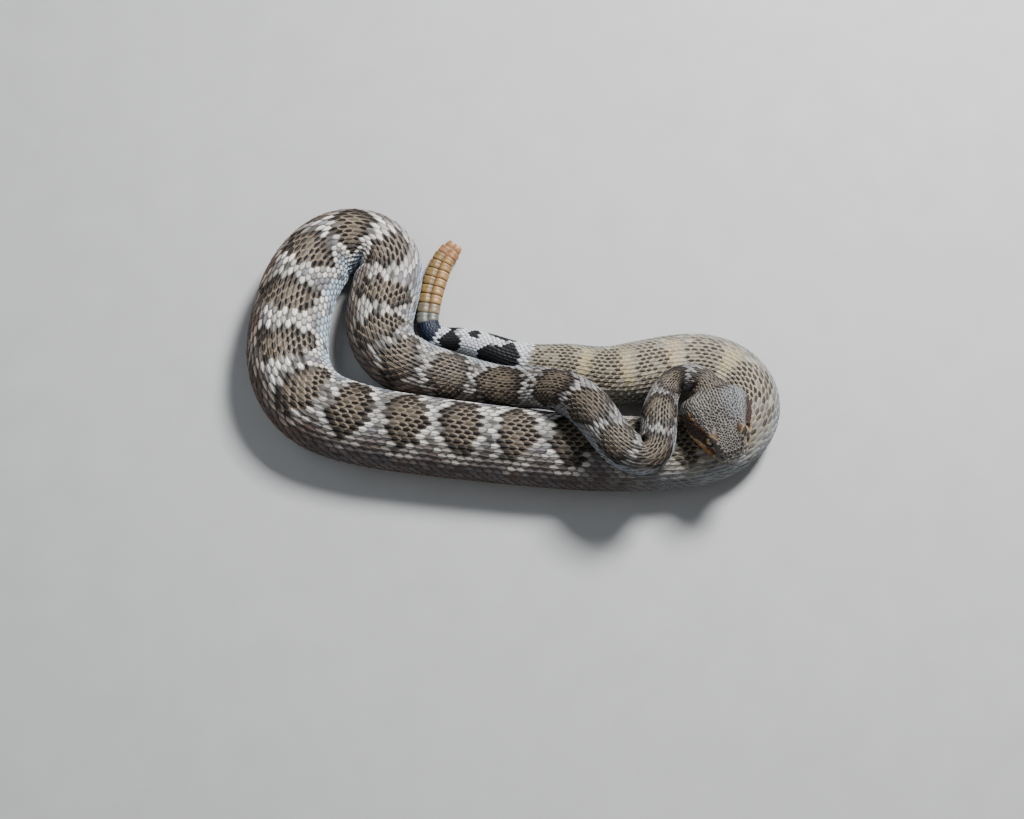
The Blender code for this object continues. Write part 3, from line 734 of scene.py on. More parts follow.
    def head(self, points: Array, above: Array, luck: Array) -> tuple:
        """Colour places on the head.

        Args:
            points: Places in the head's own axes, in mm.
            above: Distance above the lip along the skin, in mm, negative on the lower jaw.
            luck: Three random numbers for each place, from 0 to 1.

        Returns:
            The middle and the margin colours, one row for each place.
        """
        back = points[:, 1]
        core = self.colour("crown_core") * (0.75 + 0.55 * luck[:, 1:2])
        rim = self.rows(len(back), "crown_rim")[0] * (0.85 + 0.2 * luck[:, 2:3])
        fleck = ramp(0.55, 0.9, luck[:, 0]) * (above > 6)
        core = blend(core, self.colour("fleck"), fleck * 0.8)
        temple = ramp(-1, 11, points[:, 0]) * ramp(14, 24, back) * ramp(42, 36, back) * ramp(4, 7, above)
        core = blend(core, self.colour("temple") * 0.7, temple * 0.5 * luck[:, 2])
        rim = blend(rim, self.colour("temple"), temple * (0.2 + 0.5 * luck[:, 1]))
        low = ramp(3.6, 2.0, above)
        tip = low * ramp(6.5, 3.0, back) * ramp(-2.4, -1.2, above)
        chin = ramp(-1.6, -3.4, above)
        for names, share, least, spread, margin in (
                (("labial", "labial"), low, 0.7, 0.4, 0.8), (("snout", "snout"), tip, 0.75, 0.35, 0.7),
                (("belly", "belly_rim"), chin, 0.88, 0.15, 1.0)):
            core, rim = self.over((core, rim), names, share, least + spread * luck[:, 1:2], margin)
        right = ramp(0, -4, points[:, 0])
        for start, end, half, name, fill in FACE_LINES:
            away = self._off_line(np.stack([back, above], 1), start, end)
            fill = fill * (0.2 + 0.8 * right) if name == "ochre" else fill
            half = half + 1.3 * right * (half > 2.5)
            mark = ramp(half + 0.45, half - 0.45, away + 0.3 * (luck[:, 0] - 0.5)) * fill
            core, rim = self.over((core, rim), (name, "mask_rim" if name == "mask_core" else name), mark)
        # Painted shade: the nostril and the pit are painted near black inside, as shade in these hollows.
        for hollow, size in ((NOSTRIL, 0.95), (PIT, 1.3)):
            inside = ramp(size + 0.3, size, np.hypot(back - hollow[1], points[:, 2] - hollow[2]))
            core, rim = self.over((core, rim), ("border_core", "border_core"), inside)
        # Painted light: a warm orange glow on the right side's lips, as warm reflected light.
        brick_glow = ramp(-3, -6, points[:, 0]) * ramp(5, 8, back) * ramp(19, 13, back) * ramp(5.6, 4.2, above)
        brick_glow = brick_glow * ramp(-4, -2, above) * 0.8
        return self.over((core, rim), ("glow_orange", "glow_orange"), brick_glow, 1.0, 0.8)

    @staticmethod
    def _off_line(places: Array, start: tuple, end: tuple) -> Array:
        """Return the distance of places from a straight stretch between two points."""
        first, span = np.array(start), np.subtract(end, start)
        t = np.clip((places - first) @ span / (span @ span), 0, 1)
        return np.linalg.norm(places - first - t[:, None] * span, axis=1)


@dataclass
class Place:
    """Reads the colour of any place of the animal for the skin and the coat."""

    hide: Hide
    markings: Markings

    def tint(self, at: Array, share: Array, luck: Array) -> tuple:
        """Colour places given by distance and by girth share on the skin.

        Args:
            at: Distances in mm.
            share: Girth shares on the skin, before the roll is taken off.
            luck: Three random numbers for each place.

        Returns:
            The middle and the margin colours.
        """
        turned = (share - self.hide.roll(at) + 0.5) % 1.0 - 0.5
        girth = self.hide.girth_at(at)
        core, rim = self.markings.body(at, turned, girth, luck)
        tail_core, tail_rim = self.markings.tail(at, share, luck)
        on_tail = ramp(VENT + 9, VENT + 15, at + 5 * (luck[:, 0] - 0.5))
        core, rim = blend(core, tail_core, on_tail), blend(rim, tail_rim, on_tail)
        under = ramp(0.36, 0.39, np.abs(turned)) * (1 - on_tail)
        core, rim = self.markings.over((core, rim), ("belly", "belly_rim"), under)
        front = at < 4
        if front.any():
            points, _ = self.hide.sample(at[front], share[front])
            above = (self.hide.lip_at(at[front]) - np.abs(share[front])) * girth[front]
            head_core, head_rim = self.markings.head(world_to_head(points), above, luck[front])
            mix = ramp(2, -7, at[front] + 5 * (luck[front, 2] - 0.5))
            core[front] = blend(core[front], head_core, mix)
            rim[front] = blend(rim[front], head_rim, mix)
        return core, rim


@dataclass(frozen=True)
class Cut:
    """The shape one scale is cut to.

    Points run from root, 0, to tip, 1, and from -1 to 1 across. A point's height is a sum of how
    much it shares in the scale's rise, dome and keel, less its share of the scale's thickness.
    """

    along: Array
    across: Array
    rise: Array
    dome: Array
    keel: Array
    under: Array
    margin: Array
    faces: tuple


def strip_cut(along: tuple, breadth: tuple, lanes: tuple, keeled: bool, tip: bool, lead: float = 0.0) -> Cut:
    """Cut a scale from rows of points between its root and its tip.

    Args:
        along: Where the rows lie, from root to tip.
        breadth: Half breadth of each row, 1 for the widest.
        lanes: Where the points of a row lie across, from -1 to 1.
        keeled: Whether a keel runs down its middle.
        tip: Whether a single point closes its end.
        lead: How far the sides run ahead of the middle, as a share of the length.

    Returns:
        The cut, closed below.
    """
    lanes_ = np.array(lanes)
    count = len(lanes)
    a, c, dome, keel, margin = [], [], [], [], []
    for where, half in zip(along, breadth):
        for lane in lanes_:
            a.append(where - lead * lane * lane)
            c.append(lane * half)
            dome.append((1 - abs(lane)**2.4) * np.sin(np.pi * min(0.12 + where * 0.86, 1.0))**0.6)
            keel.append(1.0 if keeled and lane == 0 and where < 0.98 else 0.0)
            margin.append(min(1.0, abs(lane)**1.7 + max(0.0, (where - 0.5) / 0.5)**1.5))
    rows = len(along)
    if tip:
        a.append(1.0)
        c.append(0.0)
        dome.append(0.0)
        keel.append(0.25 if keeled else 0.0)
        margin.append(1.0)
    faces = []
    for i in range(rows - 1):
        for j in range(count - 1):
            k = i * count + j
            faces.append((k, k + 1, k + count + 1, k + count))
    last = (rows - 1) * count
    if tip:
        faces += [(last + j, last + j + 1, rows * count) for j in range(count - 1)]
    outline = list(range(count)) + [i * count + count - 1 for i in range(1, rows)]
    outline += [rows * count] if tip else [last + j for j in range(count - 2, 0, -1)]
    outline += [i * count for i in range(rows - 1, 0, -1)]
    top = len(a)
    a += [a[k] for k in outline]
    c += [c[k] * 0.97 for k in outline]
    under = [0.0] * top + [1.0] * len(outline)
    dome += [dome[k] for k in outline]
    keel += [0.0] * len(outline)
    margin += [1.0] * len(outline)
    for i, k in enumerate(outline):
        j = (i + 1) % len(outline)
        faces.append((outline[j], k, top + i, top + j))
    faces.append(tuple(top + i for i in range(len(outline) - 1, -1, -1)))
    along_ = np.array(a)
    return Cut(along_, np.array(c), along_.clip(0), np.array(dome), np.array(keel), np.array(under),
               np.array(margin), tuple(faces))


def tile_cut(sides: int = 12, power: float = 2.6) -> Cut:
    """Cut a smooth plate with rounded corners, about its own middle.

    Args:
        sides: Corners of its outline.
        power: How square its outline is, 2 for an oval.

    Returns:
        The cut, closed below. Its points run from -0.5 to 0.5 along.
    """
    angle = np.arange(sides) / sides * 2 * np.pi + np.pi / sides
    x = np.sign(np.cos(angle)) * np.abs(np.cos(angle))**(2 / power)
    y = np.sign(np.sin(angle)) * np.abs(np.sin(angle))**(2 / power)
    rings = ((0.62, 1.0, 0.25, 0.0), (0.9, 0.72, 0.8, 0.0), (1.0, 0.3, 1.0, 0.0), (0.97, 0.0, 1.0, 1.0))
    a, c, dome, margin, under = [0.0], [0.0], [1.05], [0.0], [0.0]
    for size, high, rim, below in rings:
        a += list(x * size / 2)
        c += list(y * size)
        dome += [high] * sides
        margin += [rim] * sides
        under += [below] * sides
    faces = [(0, 1 + (i + 1) % sides, 1 + i) for i in range(sides)]
    for ring in range(len(rings) - 1):
        first = 1 + ring * sides
        for i in range(sides):
            j = (i + 1) % sides
            faces.append((first + i, first + j, first + sides + j, first + sides + i))
    first = 1 + (len(rings) - 1) * sides
    faces.append(tuple(first + i for i in range(sides)))
    flat = np.zeros(len(a))
    return Cut(np.array(a), np.array(c), flat + 0.5, np.array(dome), flat, np.array(under),
               np.array(margin), tuple(faces))


KEELED = strip_cut((0.0, 0.3, 0.58, 0.8, 0.94), (0.52, 0.90, 1.0, 0.76, 0.40),
                   (-1, -0.62, -0.2, 0, 0.2, 0.62, 1), True, True)
SMOOTH = strip_cut((0.0, 0.3, 0.6, 0.84, 0.96), (0.55, 0.92, 1.0, 0.78, 0.45),
                   (-1, -0.6, 0, 0.6, 1), False, True)
SCUTE = strip_cut((0.0, 0.5, 0.86, 1.0), (1.0, 1.0, 1.0, 0.985),
                  (-1, -0.96, -0.86, -0.68, -0.45, -0.2, 0, 0.2, 0.45, 0.68, 0.86, 0.96, 1),
                  False, False, 0.12)
TILE = tile_cut()


@dataclass
class Batch:
    """Scales of one cut that are laid on the skin together."""

    cut: Cut
    at: Array
    share: Array
    length: Array
    width: Array
    rise: Array
    dome: Array
    keel: Array
    thick: Array
    turn: Array
    core: Array
    rim: Array

    def part(self, keep: Array) -> "Batch":
        """Return the scales that keep picks."""
        values = {name: getattr(self, name)[keep] for name in
                  ("at", "share", "length", "width", "rise", "dome", "keel", "thick", "turn", "core", "rim")}
        return Batch(self.cut, **values)


def write_mesh(name: str, points: Array, faces: list, tint: Array, rim: Array, bake: Array, grain: Array,
               sharp: float) -> bpy.types.Object:
    """Make an object from points in mm and faces.

    Args:
        name: The object's name.
        points: Its vertices in mm.
        faces: Arrays of vertex numbers, one row for each face of equal size.
        tint: A colour for each vertex.
        rim: The colour a scale's margin has there.
        bake: The OFBake place of each face corner, in the order of the faces.
        grain: Along, across and margin values of each vertex, for the materials.
        sharp: Angle in degrees past which an edge is sharp.

    Returns:
        The new object, in the scene.
    """
    mesh = bpy.data.meshes.new(name)
    sizes = np.concatenate([np.full(len(block), block.shape[1]) for block in faces])
    corners = np.concatenate([block.ravel() for block in faces])
    mesh.vertices.add(len(points))
    mesh.vertices.foreach_set("co", (points * MM).astype(np.float32).ravel())
    mesh.loops.add(len(corners))
    mesh.loops.foreach_set("vertex_index", corners.astype(np.int32))
    mesh.polygons.add(len(sizes))
    starts = np.concatenate([[0], np.cumsum(sizes)[:-1]])
    mesh.polygons.foreach_set("loop_start", starts.astype(np.int32))
    mesh.polygons.foreach_set("use_smooth", np.ones(len(sizes), bool))
    mesh.update(calc_edges=True)
    for attribute, shade in (("tint", tint), ("rim", rim)):
        colours = np.ones((len(points), 4), np.float32)
        colours[:, :3] = shade
        layer = mesh.attributes.new(attribute, "FLOAT_COLOR", "POINT")
        layer.data.foreach_set("color", colours.ravel())
    layer = mesh.attributes.new("grain", "FLOAT_VECTOR", "POINT")
    layer.data.foreach_set("vector", grain.astype(np.float32).ravel())
    layer = mesh.uv_layers.new(name="OFBake")
    layer.data.foreach_set("uv", bake.astype(np.float32).ravel())
    mesh.set_sharp_from_angle(angle=np.radians(sharp))
    made = bpy.data.objects.new(name, mesh)
    bpy.context.scene.collection.objects.link(made)
    return made


def lay_coat(name: str, hide: Hide, batches: list, start: float, end: float) -> bpy.types.Object:
    """Join batches of scales into one piece that follows the skin.

    Args:
        name: The piece's name.
        hide: The skin it lies on.
        batches: What it is made of.
        start: Distance in mm where its unwrap starts.
        end: Distance in mm where its unwrap ends.

    Returns:
        The new piece.
    """
    points, tints, rims, grains, faces, bakes = [], [], [], [], {}, {}
    offset = 0
    for batch in batches:
        cut = batch.cut
        count, corners = len(batch.at), len(cut.along)
        if not count:
            continue
        forward = cut.along[None, :] * batch.length[:, None]
        sideways = cut.across[None, :] * batch.width[:, None] / 2
        cos, sin = np.cos(batch.turn)[:, None], np.sin(batch.turn)[:, None]
        at = batch.at[:, None] + forward * cos - sideways * sin
        share = batch.share[:, None] + (forward * sin + sideways * cos) / hide.girth_at(at)
        height = (cut.rise * batch.rise[:, None] + cut.dome * batch.dome[:, None]
                  + cut.keel * batch.keel[:, None] - cut.under * batch.thick[:, None])
        place, normal = hide.sample(at, share)
        points.append((place + normal * height[:, :, None]).reshape(-1, 3))
        # Painted shade: the underside and the lower edges of each scale are painted darker.
        for shades, colour in ((tints, batch.core), (rims, batch.rim)):
            shade = colour[:, None, :] * (1 - 0.45 * cut.under[None, :, None])
            shades.append(shade.reshape(-1, 3))
        grain = np.stack(np.broadcast_arrays(forward, sideways, cut.margin[None, :] + 0 * forward), -1)
        grains.append(grain.reshape(-1, 3))
        root = np.stack([0.02 + 0.96 * (batch.at - start) / (end - start),
                         0.02 + 0.96 * ((batch.share + 0.5) % 1.0)], 1)
        low = cut.along.min()
        local = np.stack([(cut.along - low) / (cut.along.max() - low) - 0.5, cut.across / 2], 1)
        local = local * np.where(cut.under > 0, 1.0, 0.8)[:, None] * PATCH
        for face in cut.faces:
            numbers = np.array(face)
            block = offset + np.arange(count)[:, None] * corners + numbers[None, :]
            faces.setdefault(len(face), []).append(block)
            spot = root[:, None, :] + local[numbers][None, :, :]
            bakes.setdefault(len(face), []).append(spot.reshape(-1, 2))
        offset += count * corners
    sizes = sorted(faces)
    blocks = [np.concatenate(faces[size]) for size in sizes]
    bake = np.concatenate([np.concatenate(bakes[size]) for size in sizes])
    return write_mesh(name, np.concatenate(points), blocks, np.concatenate(tints), np.concatenate(rims),
                      bake.clip(0, 1), np.concatenate(grains), sharp=38)


@dataclass
class SkinPiece:
    """The one skin that stands for every node of flesh."""

    hide: Hide
    place: Place
    seed: int = 5
    body_step: int = 2
    strips: tuple = (0.0, 317.0, 634.0, 950.0)

    def build(self) -> bpy.types.Object:
        """Return the skin, closed at the snout and at the rattle."""
        hide = self.hide
        head_rows = np.flatnonzero(hide.at <= 0)
        body_rows = np.flatnonzero(hide.at > 0)[self.body_step - 1::self.body_step]
        body_rows = np.unique(np.append(body_rows, len(hide.at) - 1))
        wide, narrow = hide.columns, hide.columns // 2
        points = [hide.point[head_rows, :-1].reshape(-1, 3), hide.point[body_rows, :-1:2].reshape(-1, 3)]
        base = len(head_rows) * wide
        snout, end = base + len(body_rows) * narrow, base + len(body_rows) * narrow + 1
        points += [hide.point[0, :-1].mean(0)[None], hide.point[-1, :-1].mean(0)[None]]
        faces = {3: [], 4: []}
        bake = {3: [], 4: []}

        def add(numbers: list, places: list) -> None:
            """Add a block of faces with the (distance, girth column) of each corner."""
            faces[len(numbers)].append(np.stack(numbers, 1))
            bake[len(numbers)].append(self._unwrap(np.stack([np.stack(p, 1) for p in places], 1)))

        j = np.arange(wide)
        for r in range(len(head_rows) - 1):
            a, b = np.full(wide, hide.at[head_rows[r]]), np.full(wide, hide.at[head_rows[r + 1]])
            k = (j + 1) % wide
            add([r * wide + j, r * wide + k, (r + 1) * wide + k, (r + 1) * wide + j],
                [(a, j), (a, j + 1), (b, j + 1), (b, j)])
        j = np.arange(narrow)
        k = (j + 1) % narrow
        a, b = np.full(narrow, hide.at[head_rows[-1]]), np.full(narrow, hide.at[body_rows[0]])
        top = (len(head_rows) - 1) * wide
        add([top + 2 * j, top + 2 * j + 1, base + j], [(a, 2 * j), (a, 2 * j + 1), (b, 2 * j)])
        add([top + 2 * j + 1, top + (2 * j + 2) % wide, base + k],
            [(a, 2 * j + 1), (a, 2 * j + 2), (b, 2 * j + 2)])
        add([top + 2 * j + 1, base + k, base + j], [(a, 2 * j + 1), (b, 2 * j + 2), (b, 2 * j)])
        for r in range(len(body_rows) - 1):
            a, b = np.full(narrow, hide.at[body_rows[r]]), np.full(narrow, hide.at[body_rows[r + 1]])
            first, second = base + r * narrow, base + (r + 1) * narrow
            add([first + j, first + k, second + k, second + j],
                [(a, 2 * j), (a, 2 * j + 2), (b, 2 * j + 2), (b, 2 * j)])
        first = base + (len(body_rows) - 1) * narrow
        b = np.full(narrow, BODY_END)
        add([first + j, first + k, np.full(narrow, end)], [(b, 2 * j), (b, 2 * j + 2), (b + 3, 2 * j + 1)])
        j = np.arange(wide)
        a = np.full(wide, hide.at[0])
        add([(j + 1) % wide, j, np.full(wide, snout)], [(a, j + 1), (a, j), (a - 0.4, j + 0.5)])
        points = np.concatenate(points)
        tint = self._tint(head_rows, body_rows)
        blocks = [np.concatenate(faces[size]) for size in (3, 4)]
        corners = np.concatenate([np.concatenate(bake[size]).reshape(-1, 2) for size in (3, 4)])
        return write_mesh("body_skin", points, blocks, tint, tint, corners, points * 0, sharp=60)

    def _unwrap(self, corners: Array) -> Array:
        """Give each corner, a distance and a girth column, its OFBake place."""
        at, around = corners[..., 0], corners[..., 1] / self.hide.columns
        middle = at.mean(1)
        head = middle < 0
        strip = np.clip(np.searchsorted(self.strips, middle, side="right") - 1, 0, 2)
        low = np.array(self.strips)[strip][:, None]
        high = np.array(self.strips)[strip + 1][:, None]
        body_u = 0.005 + 0.985 * (at - low) / (high - low)
        body_v = 0.30 + strip[:, None] * 0.235 + 0.225 * around
        head_v = 0.005 + 0.285 * (at + HEAD_LENGTH + 1.4) / (HEAD_LENGTH + 1.4)
        u = np.where(head[:, None], 0.005 + 0.99 * around, body_u)
        v = np.where(head[:, None], head_v, body_v)
        return np.stack([u, v], -1).clip(0, 1)

    def _tint(self, head_rows: Array, body_rows: Array) -> Array:
        """Colour the skin's vertices with the coat's markings, darker as painted shade between scales."""
        shares = self.hide.shares()
        random = np.random.default_rng(self.seed)
        at, share = [], []
        for rows, step in ((head_rows, 1), (body_rows, 2)):
            grid = np.meshgrid(self.hide.at[rows], shares[:-1:step], indexing="ij")
            at.append(grid[0].ravel())
            share.append(grid[1].ravel())
        at, share = np.concatenate(at), np.concatenate(share)
        core, rim = self.place.tint(at, share, random.uniform(0.3, 0.6, (len(at), 3)))
        # Painted shade: the skin shows only between scales, so it is darker; the hidden cap inside the rattle
        # is darker still.
        tint = core * 0.15 + rim * 0.6
        return np.concatenate([tint, tint[:1], tint[-1:] * 0.2])


@dataclass
class BackCoat:
    """The keeled scales of the head, back, flanks and tail, and the plates of the belly."""

    hide: Hide
    place: Place
    seed: int = 11
    pieces: tuple = (("front_coat", 0, 150), ("inner_loop_coat", 150, 330), ("left_loop_coat", 330, 470),
                     ("lower_coat", 470, 650), ("rear_coat", 650, 868), ("tail_coat", 868, 956))

    def lattice(self) -> tuple:
        """Return the root distance, girth share, row gap and pitch of every scale, with its luck."""
        random = np.random.default_rng(self.seed)
        fine = np.linspace(-HEAD_LENGTH, BODY_END + 2, 20000)
        pitch = smooth_table(PITCH, fine)
        count = np.concatenate([[0], np.cumsum(np.diff(fine) * 2 / (pitch[1:] + pitch[:-1]))])
        found = []
        for row in range(-26, 27):
            steps = np.arange(int(count[-1])) + 0.5 * (row % 2)
            found.append(np.stack([np.interp(steps, count, fine), np.full(len(steps), row)], 1))
        at, row = np.concatenate(found).T
        luck = random.uniform(0, 1, (len(at), 3))
        pitch = smooth_table(PITCH, at)
        gap = self.row_gap(at)
        girth = self.hide.girth_at(at)
        loose = np.where(at < -8, 0.16, 0.05) + 0.06 * ramp(-8, -20, at)
        at = at + (luck[:, 0] - 0.5) * 2 * loose * pitch
        turned = (row + (luck[:, 1] - 0.5) * 2 * loose) * gap / girth
        out = np.abs(turned) / smooth_table(BACK_SHARE, at) * ramp(-7, 0, at)
        turned = turned * (1 + ramp(-7, 0, at) * (0.15 * out - 0.15))
        gap = gap * (1 + ramp(-7, 0, at) * (0.30 * out - 0.15))
        keep = (np.abs(turned) < smooth_table(BACK_SHARE, at) + 0.25 * gap / girth) | (at < -2)
        keep &= (np.abs(turned) < 0.47) & (at > -HEAD_LENGTH + 0.2) & (at < BODY_END - 0.5)
        return at[keep], turned[keep], gap[keep], pitch[keep], luck[keep]

    def row_gap(self, at: Array) -> Array:
        """Return the distance between rows of scales in mm."""
        body = 2 * smooth_table(BACK_SHARE, at) * self.hide.girth_at(at) / smooth_table(ROWS, at)
        share = ramp(-7, 0, at)
        return smooth_table(HEAD_ROW_GAP, at) * (1 - share) + body * share

    def batch(self) -> Batch:
        """Lay the keeled scales of the body and tail."""
        at, turned, gap, pitch, luck = self.lattice()
        keep = at >= -1.0
        at, turned, gap, pitch, luck = at[keep], turned[keep], gap[keep], pitch[keep], luck[keep]
        share = turned + self.hide.roll(at)
        length = pitch * (1.30 + 0.1 * (luck[:, 2] - 0.5))
        width = gap * (1.30 + 0.1 * (luck[:, 0] - 0.5))
        core, rim = self.place.tint(at + length * 0.5, share, luck)
        size = gap / 3.4
        low = np.abs(turned) / smooth_table(BACK_SHARE, at)
        keel = 0.30 * size * ramp(1.0, 0.8, low) * ramp(VENT + 70, VENT, at).clip(0.3, 1)
        width = width * (1 + 0.22 * ramp(0.86, 0.98, low))
        return Batch(KEELED, at - length * 0.1, share, length, width, 0.62 * size, 0.30 * size, keel,
                     0.26 * size, (luck[:, 1] - 0.5) * 0.08, core, rim)

    def scutes(self, start: float, end: float, pitch: float) -> Batch:
        """Lay the broad plates of the belly, or those under the tail.

        Args:
            start: Distance of the first, in mm.
            end: Distance of the last, in mm.
            pitch: Their spacing in mm.

        Returns:
            The batch.
        """
        random = np.random.default_rng(self.seed + int(start))
        at = np.arange(start, end, pitch) if pitch else self._pitched(start, end)
        step = np.gradient(at)
        luck = random.uniform(0, 1, (len(at), 3))
        girth = self.hide.girth_at(at)
        half = (0.5 - smooth_table(BACK_SHARE, at)) * girth
        depth = smooth_table(self.hide.coat_depth, at)
        share = 0.5 + self.hide.roll(at)
        belly, rim = self.place.markings.colour("belly"), self.place.markings.colour("belly_rim")
        core = belly * (0.82 + 0.2 * luck[:, :1])
        if start > VENT:
            core, rim_rows = self.place.tint(at, np.full(len(at), 0.5), luck)
        else:
            rim_rows = np.repeat(rim[None], len(at), 0)
        return Batch(SCUTE, at, share, step * 1.22, 2 * half + 0.5, depth * 0.60, depth * 0.22,
                     at * 0, depth * 0.3, at * 0, core, rim_rows)

    def _pitched(self, start: float, end: float) -> Array:
        """Return distances from start to end that are a pitch apart."""
        found = [start]
        while found[-1] < end:
            found.append(found[-1] + float(smooth_table(PITCH, np.array(found[-1]))))
        return np.array(found[:-1])

    def build(self) -> list:
        """Return the coat of the body and tail as a list of pieces."""
        scales = self.batch()
        made = []
        for name, start, end in self.pieces:
            low = -2.0 if start == 0 else start
            keep = (scales.at + scales.length * 0.1 >= low) & (scales.at + scales.length * 0.1 < end)
            batches = [scales.part(keep)]
            if start == VENT:
                batches.append(self.scutes(VENT + 5, BODY_END - 3, 3.1))
            made.append(lay_coat(name, self.hide, batches, min(low, start) - 3, end + 3))
        made.append(lay_coat("belly_plates", self.hide, [self.scutes(-3.0, VENT + 3, 0)], -6, VENT + 8))
        return made


@dataclass
class HeadCoat:
    """The small scales and the named plates of the head."""

    hide: Hide
    place: Place
    back_coat: BackCoat
    seed: int = 23
    labials: int = 15
    first_labial: float = 1.5
    plates: list = field(default_factory=list)

    def add(self, back: float, share: float, length: float, width: float, turn: float = 0.0,
            dome: float = 0.32) -> None:
        """Note a plate by its middle: distance behind the snout, girth share, sizes in mm and turn."""
        self.plates.append((back - HEAD_LENGTH, share, length, width, turn, dome))

    def note_plates(self) -> None:
        """Note every plate of both sides of the head."""
        hide = self.hide
        long = (MOUTH_END - self.first_labial) / self.labials
        for half in Half:
            s = half.value
            for back, reach, length, width in TOP_PLATES:
                self.add(back, s * hide.share_of_reach(back, reach), length, width)
            for back, height, length, width, turn in SIDE_PLATES:
                self.add(back, s * hide.share_of_height(back, height), length, width, -s * turn)
            for angle in np.radians(np.arange(-212, 40, 26)):
                back, height = EYE[1] + EYE_RING * np.cos(angle), EYE[2] + EYE_RING * np.sin(angle)
                turn = np.arctan2(-s * np.cos(angle), -np.sin(angle))
                self.add(back, s * hide.share_of_height(back, height), 1.75, 1.35, turn, 0.34)
            for i in range(self.labials):
                back = self.first_labial + (MOUTH_END - self.first_labial) * (i + 0.5) / self.labials
                place = np.array(back - HEAD_LENGTH)
                lip, girth = float(hide.lip_at(place)), float(hide.girth_at(place))
                tall, low = 2.9 - 0.5 * i / self.labials, 2.2 - 0.3 * i / self.labials
                self.add(back, s * (lip - (tall / 2 + 0.22) / girth), long * 1.04, tall, 0.0, 0.34)
                self.add(back, s * (lip + (low / 2 + 0.22) / girth), long * 1.04, low, 0.0, 0.3)
            for back, out, length, width in CHIN_PLATES:
                girth = float(hide.girth_at(np.array(back - HEAD_LENGTH)))
                self.add(back, s * (0.5 - out / girth), length, width, -s * 0.1, 0.25)

    def plate_batch(self) -> Batch:
        """Turn the noted plates into a batch."""
        at, share, length, width, turn, dome = np.array(self.plates).T
        luck = np.random.default_rng(self.seed + 1).uniform(0, 1, (len(at), 3))
        core, rim = self.place.tint(at, share, luck)
        return Batch(TILE, at, share, length, width, at * 0 + 0.16, dome, at * 0, at * 0 + 0.34, turn, core,
                     rim * 0.75)

    def clear_of_plates(self, at: Array, share: Array, margin: float) -> Array:
        """Return which places lie outside every plate, the eyes and the brows."""
        girth = self.hide.girth_at(at)
        free = np.ones(len(at), bool)
        for place, where, length, width, turn, _ in self.plates:
            off = (share - where + 0.5) % 1.0 - 0.5
            u, v = at - place, off * girth
            a = u * np.cos(turn) + v * np.sin(turn)
            b = v * np.cos(turn) - u * np.sin(turn)
            free &= (np.abs(a) / (length / 2 + margin))**2.6 + (np.abs(b) / (width / 2 + margin))**2.6 > 1
        points, _ = self.hide.sample(at, share)
        local = world_to_head(points)
        x, back, z = np.abs(local[:, 0]), local[:, 1], local[:, 2]
        free &= ~((np.hypot(back - EYE[1], z - EYE[2]) < EYE_CLEAR) & (x > 8))
        free &= ~((((back - BROW[1]) / 3.5)**2 + ((x - BROW[0] - 0.3) / 2.5)**2 < 1) & (z > 14.0))
        free &= ~((np.hypot(back - PIT[1], z - PIT[2]) < PIT_CLEAR) & (x > 5))
        free &= ~((np.hypot(back - NOSTRIL[1], z - NOSTRIL[2]) < NOSTRIL_CLEAR) & (x > 3))
        free &= ~((x < 2.4) & (back < 0.9) & (z > 2))
        return free

    def crown_batch(self) -> Batch:
        """Lay the small scales of the crown, the temples and the cheeks."""
        at, share, gap, pitch, luck = self.back_coat.lattice()
        keep = at < -1.0
        at, share, gap, pitch, luck = at[keep], share[keep], gap[keep], pitch[keep], luck[keep]
        girth = self.hide.girth_at(at)
        lip = self.hide.lip_at(at)
        last = lip[np.argmin(np.abs(at - LAST_LIP))]
        limit = np.where(at < MOUTH_END - HEAD_LENGTH, lip - 2.6 / girth,
                         np.interp(at, (MOUTH_END - HEAD_LENGTH, 0), (last, 0.36)))
        length, width = pitch * (1.28 + 0.3 * (luck[:, 2] - 0.5)), gap * (1.16 + 0.3 * (luck[:, 0] - 0.5))
        keep = (np.abs(share) < limit) & self.clear_of_plates(at + length * 0.45, share, 0.25)
        at, share, luck = at[keep], share[keep], luck[keep]
        length, width, gap = length[keep], width[keep], gap[keep]
        core, rim = self.place.tint(at + length * 0.5, share, luck)
        keel = 0.10 * ramp(-38, -22, at)
        turn = (luck[:, 1] - 0.5) * 0.5 * ramp(-8, -20, at)
        return Batch(KEELED, at, share, length, width, 0.10 * gap, 0.15 * gap, keel, 0.22 + at * 0, turn,
                     core, rim)

    def throat_batch(self) -> Batch:
        """Lay the smooth scales under the head."""
        found = []
        for row in range(-14, 14):
            for step in range(19):
                found.append((-40.5 + step * 2.25 + (1.12 if row % 2 else 0), row + 0.5))
        at, row = np.array(found).T
        luck = np.random.default_rng(self.seed + 2).uniform(0, 1, (len(at), 3))
        girth, lip = self.hide.girth_at(at), self.hide.lip_at(at)
        share = 0.5 + row * 2.0 / girth
        wide = np.abs((share + 0.5) % 1.0 - 0.5)
        limit = np.where(at < MOUTH_END - HEAD_LENGTH, lip + 2.2 / girth,
                         np.interp(at, (MOUTH_END - HEAD_LENGTH, 0), (0.30, 0.36)))
        keep = (wide > limit) & (at < -2.5) & self.clear_of_plates(at + 1.2, share, 0.2)
        at, share, luck = at[keep], share[keep], luck[keep]
        core, rim = self.place.tint(at + 1.2, share, luck)
        size = np.ones(len(at))
        return Batch(SMOOTH, at, share, 3.0 * size, 2.3 * size, 0.24 * size, 0.16 * size, 0 * size,
                     0.2 * size, (luck[:, 1] - 0.5) * 0.2, core, rim)

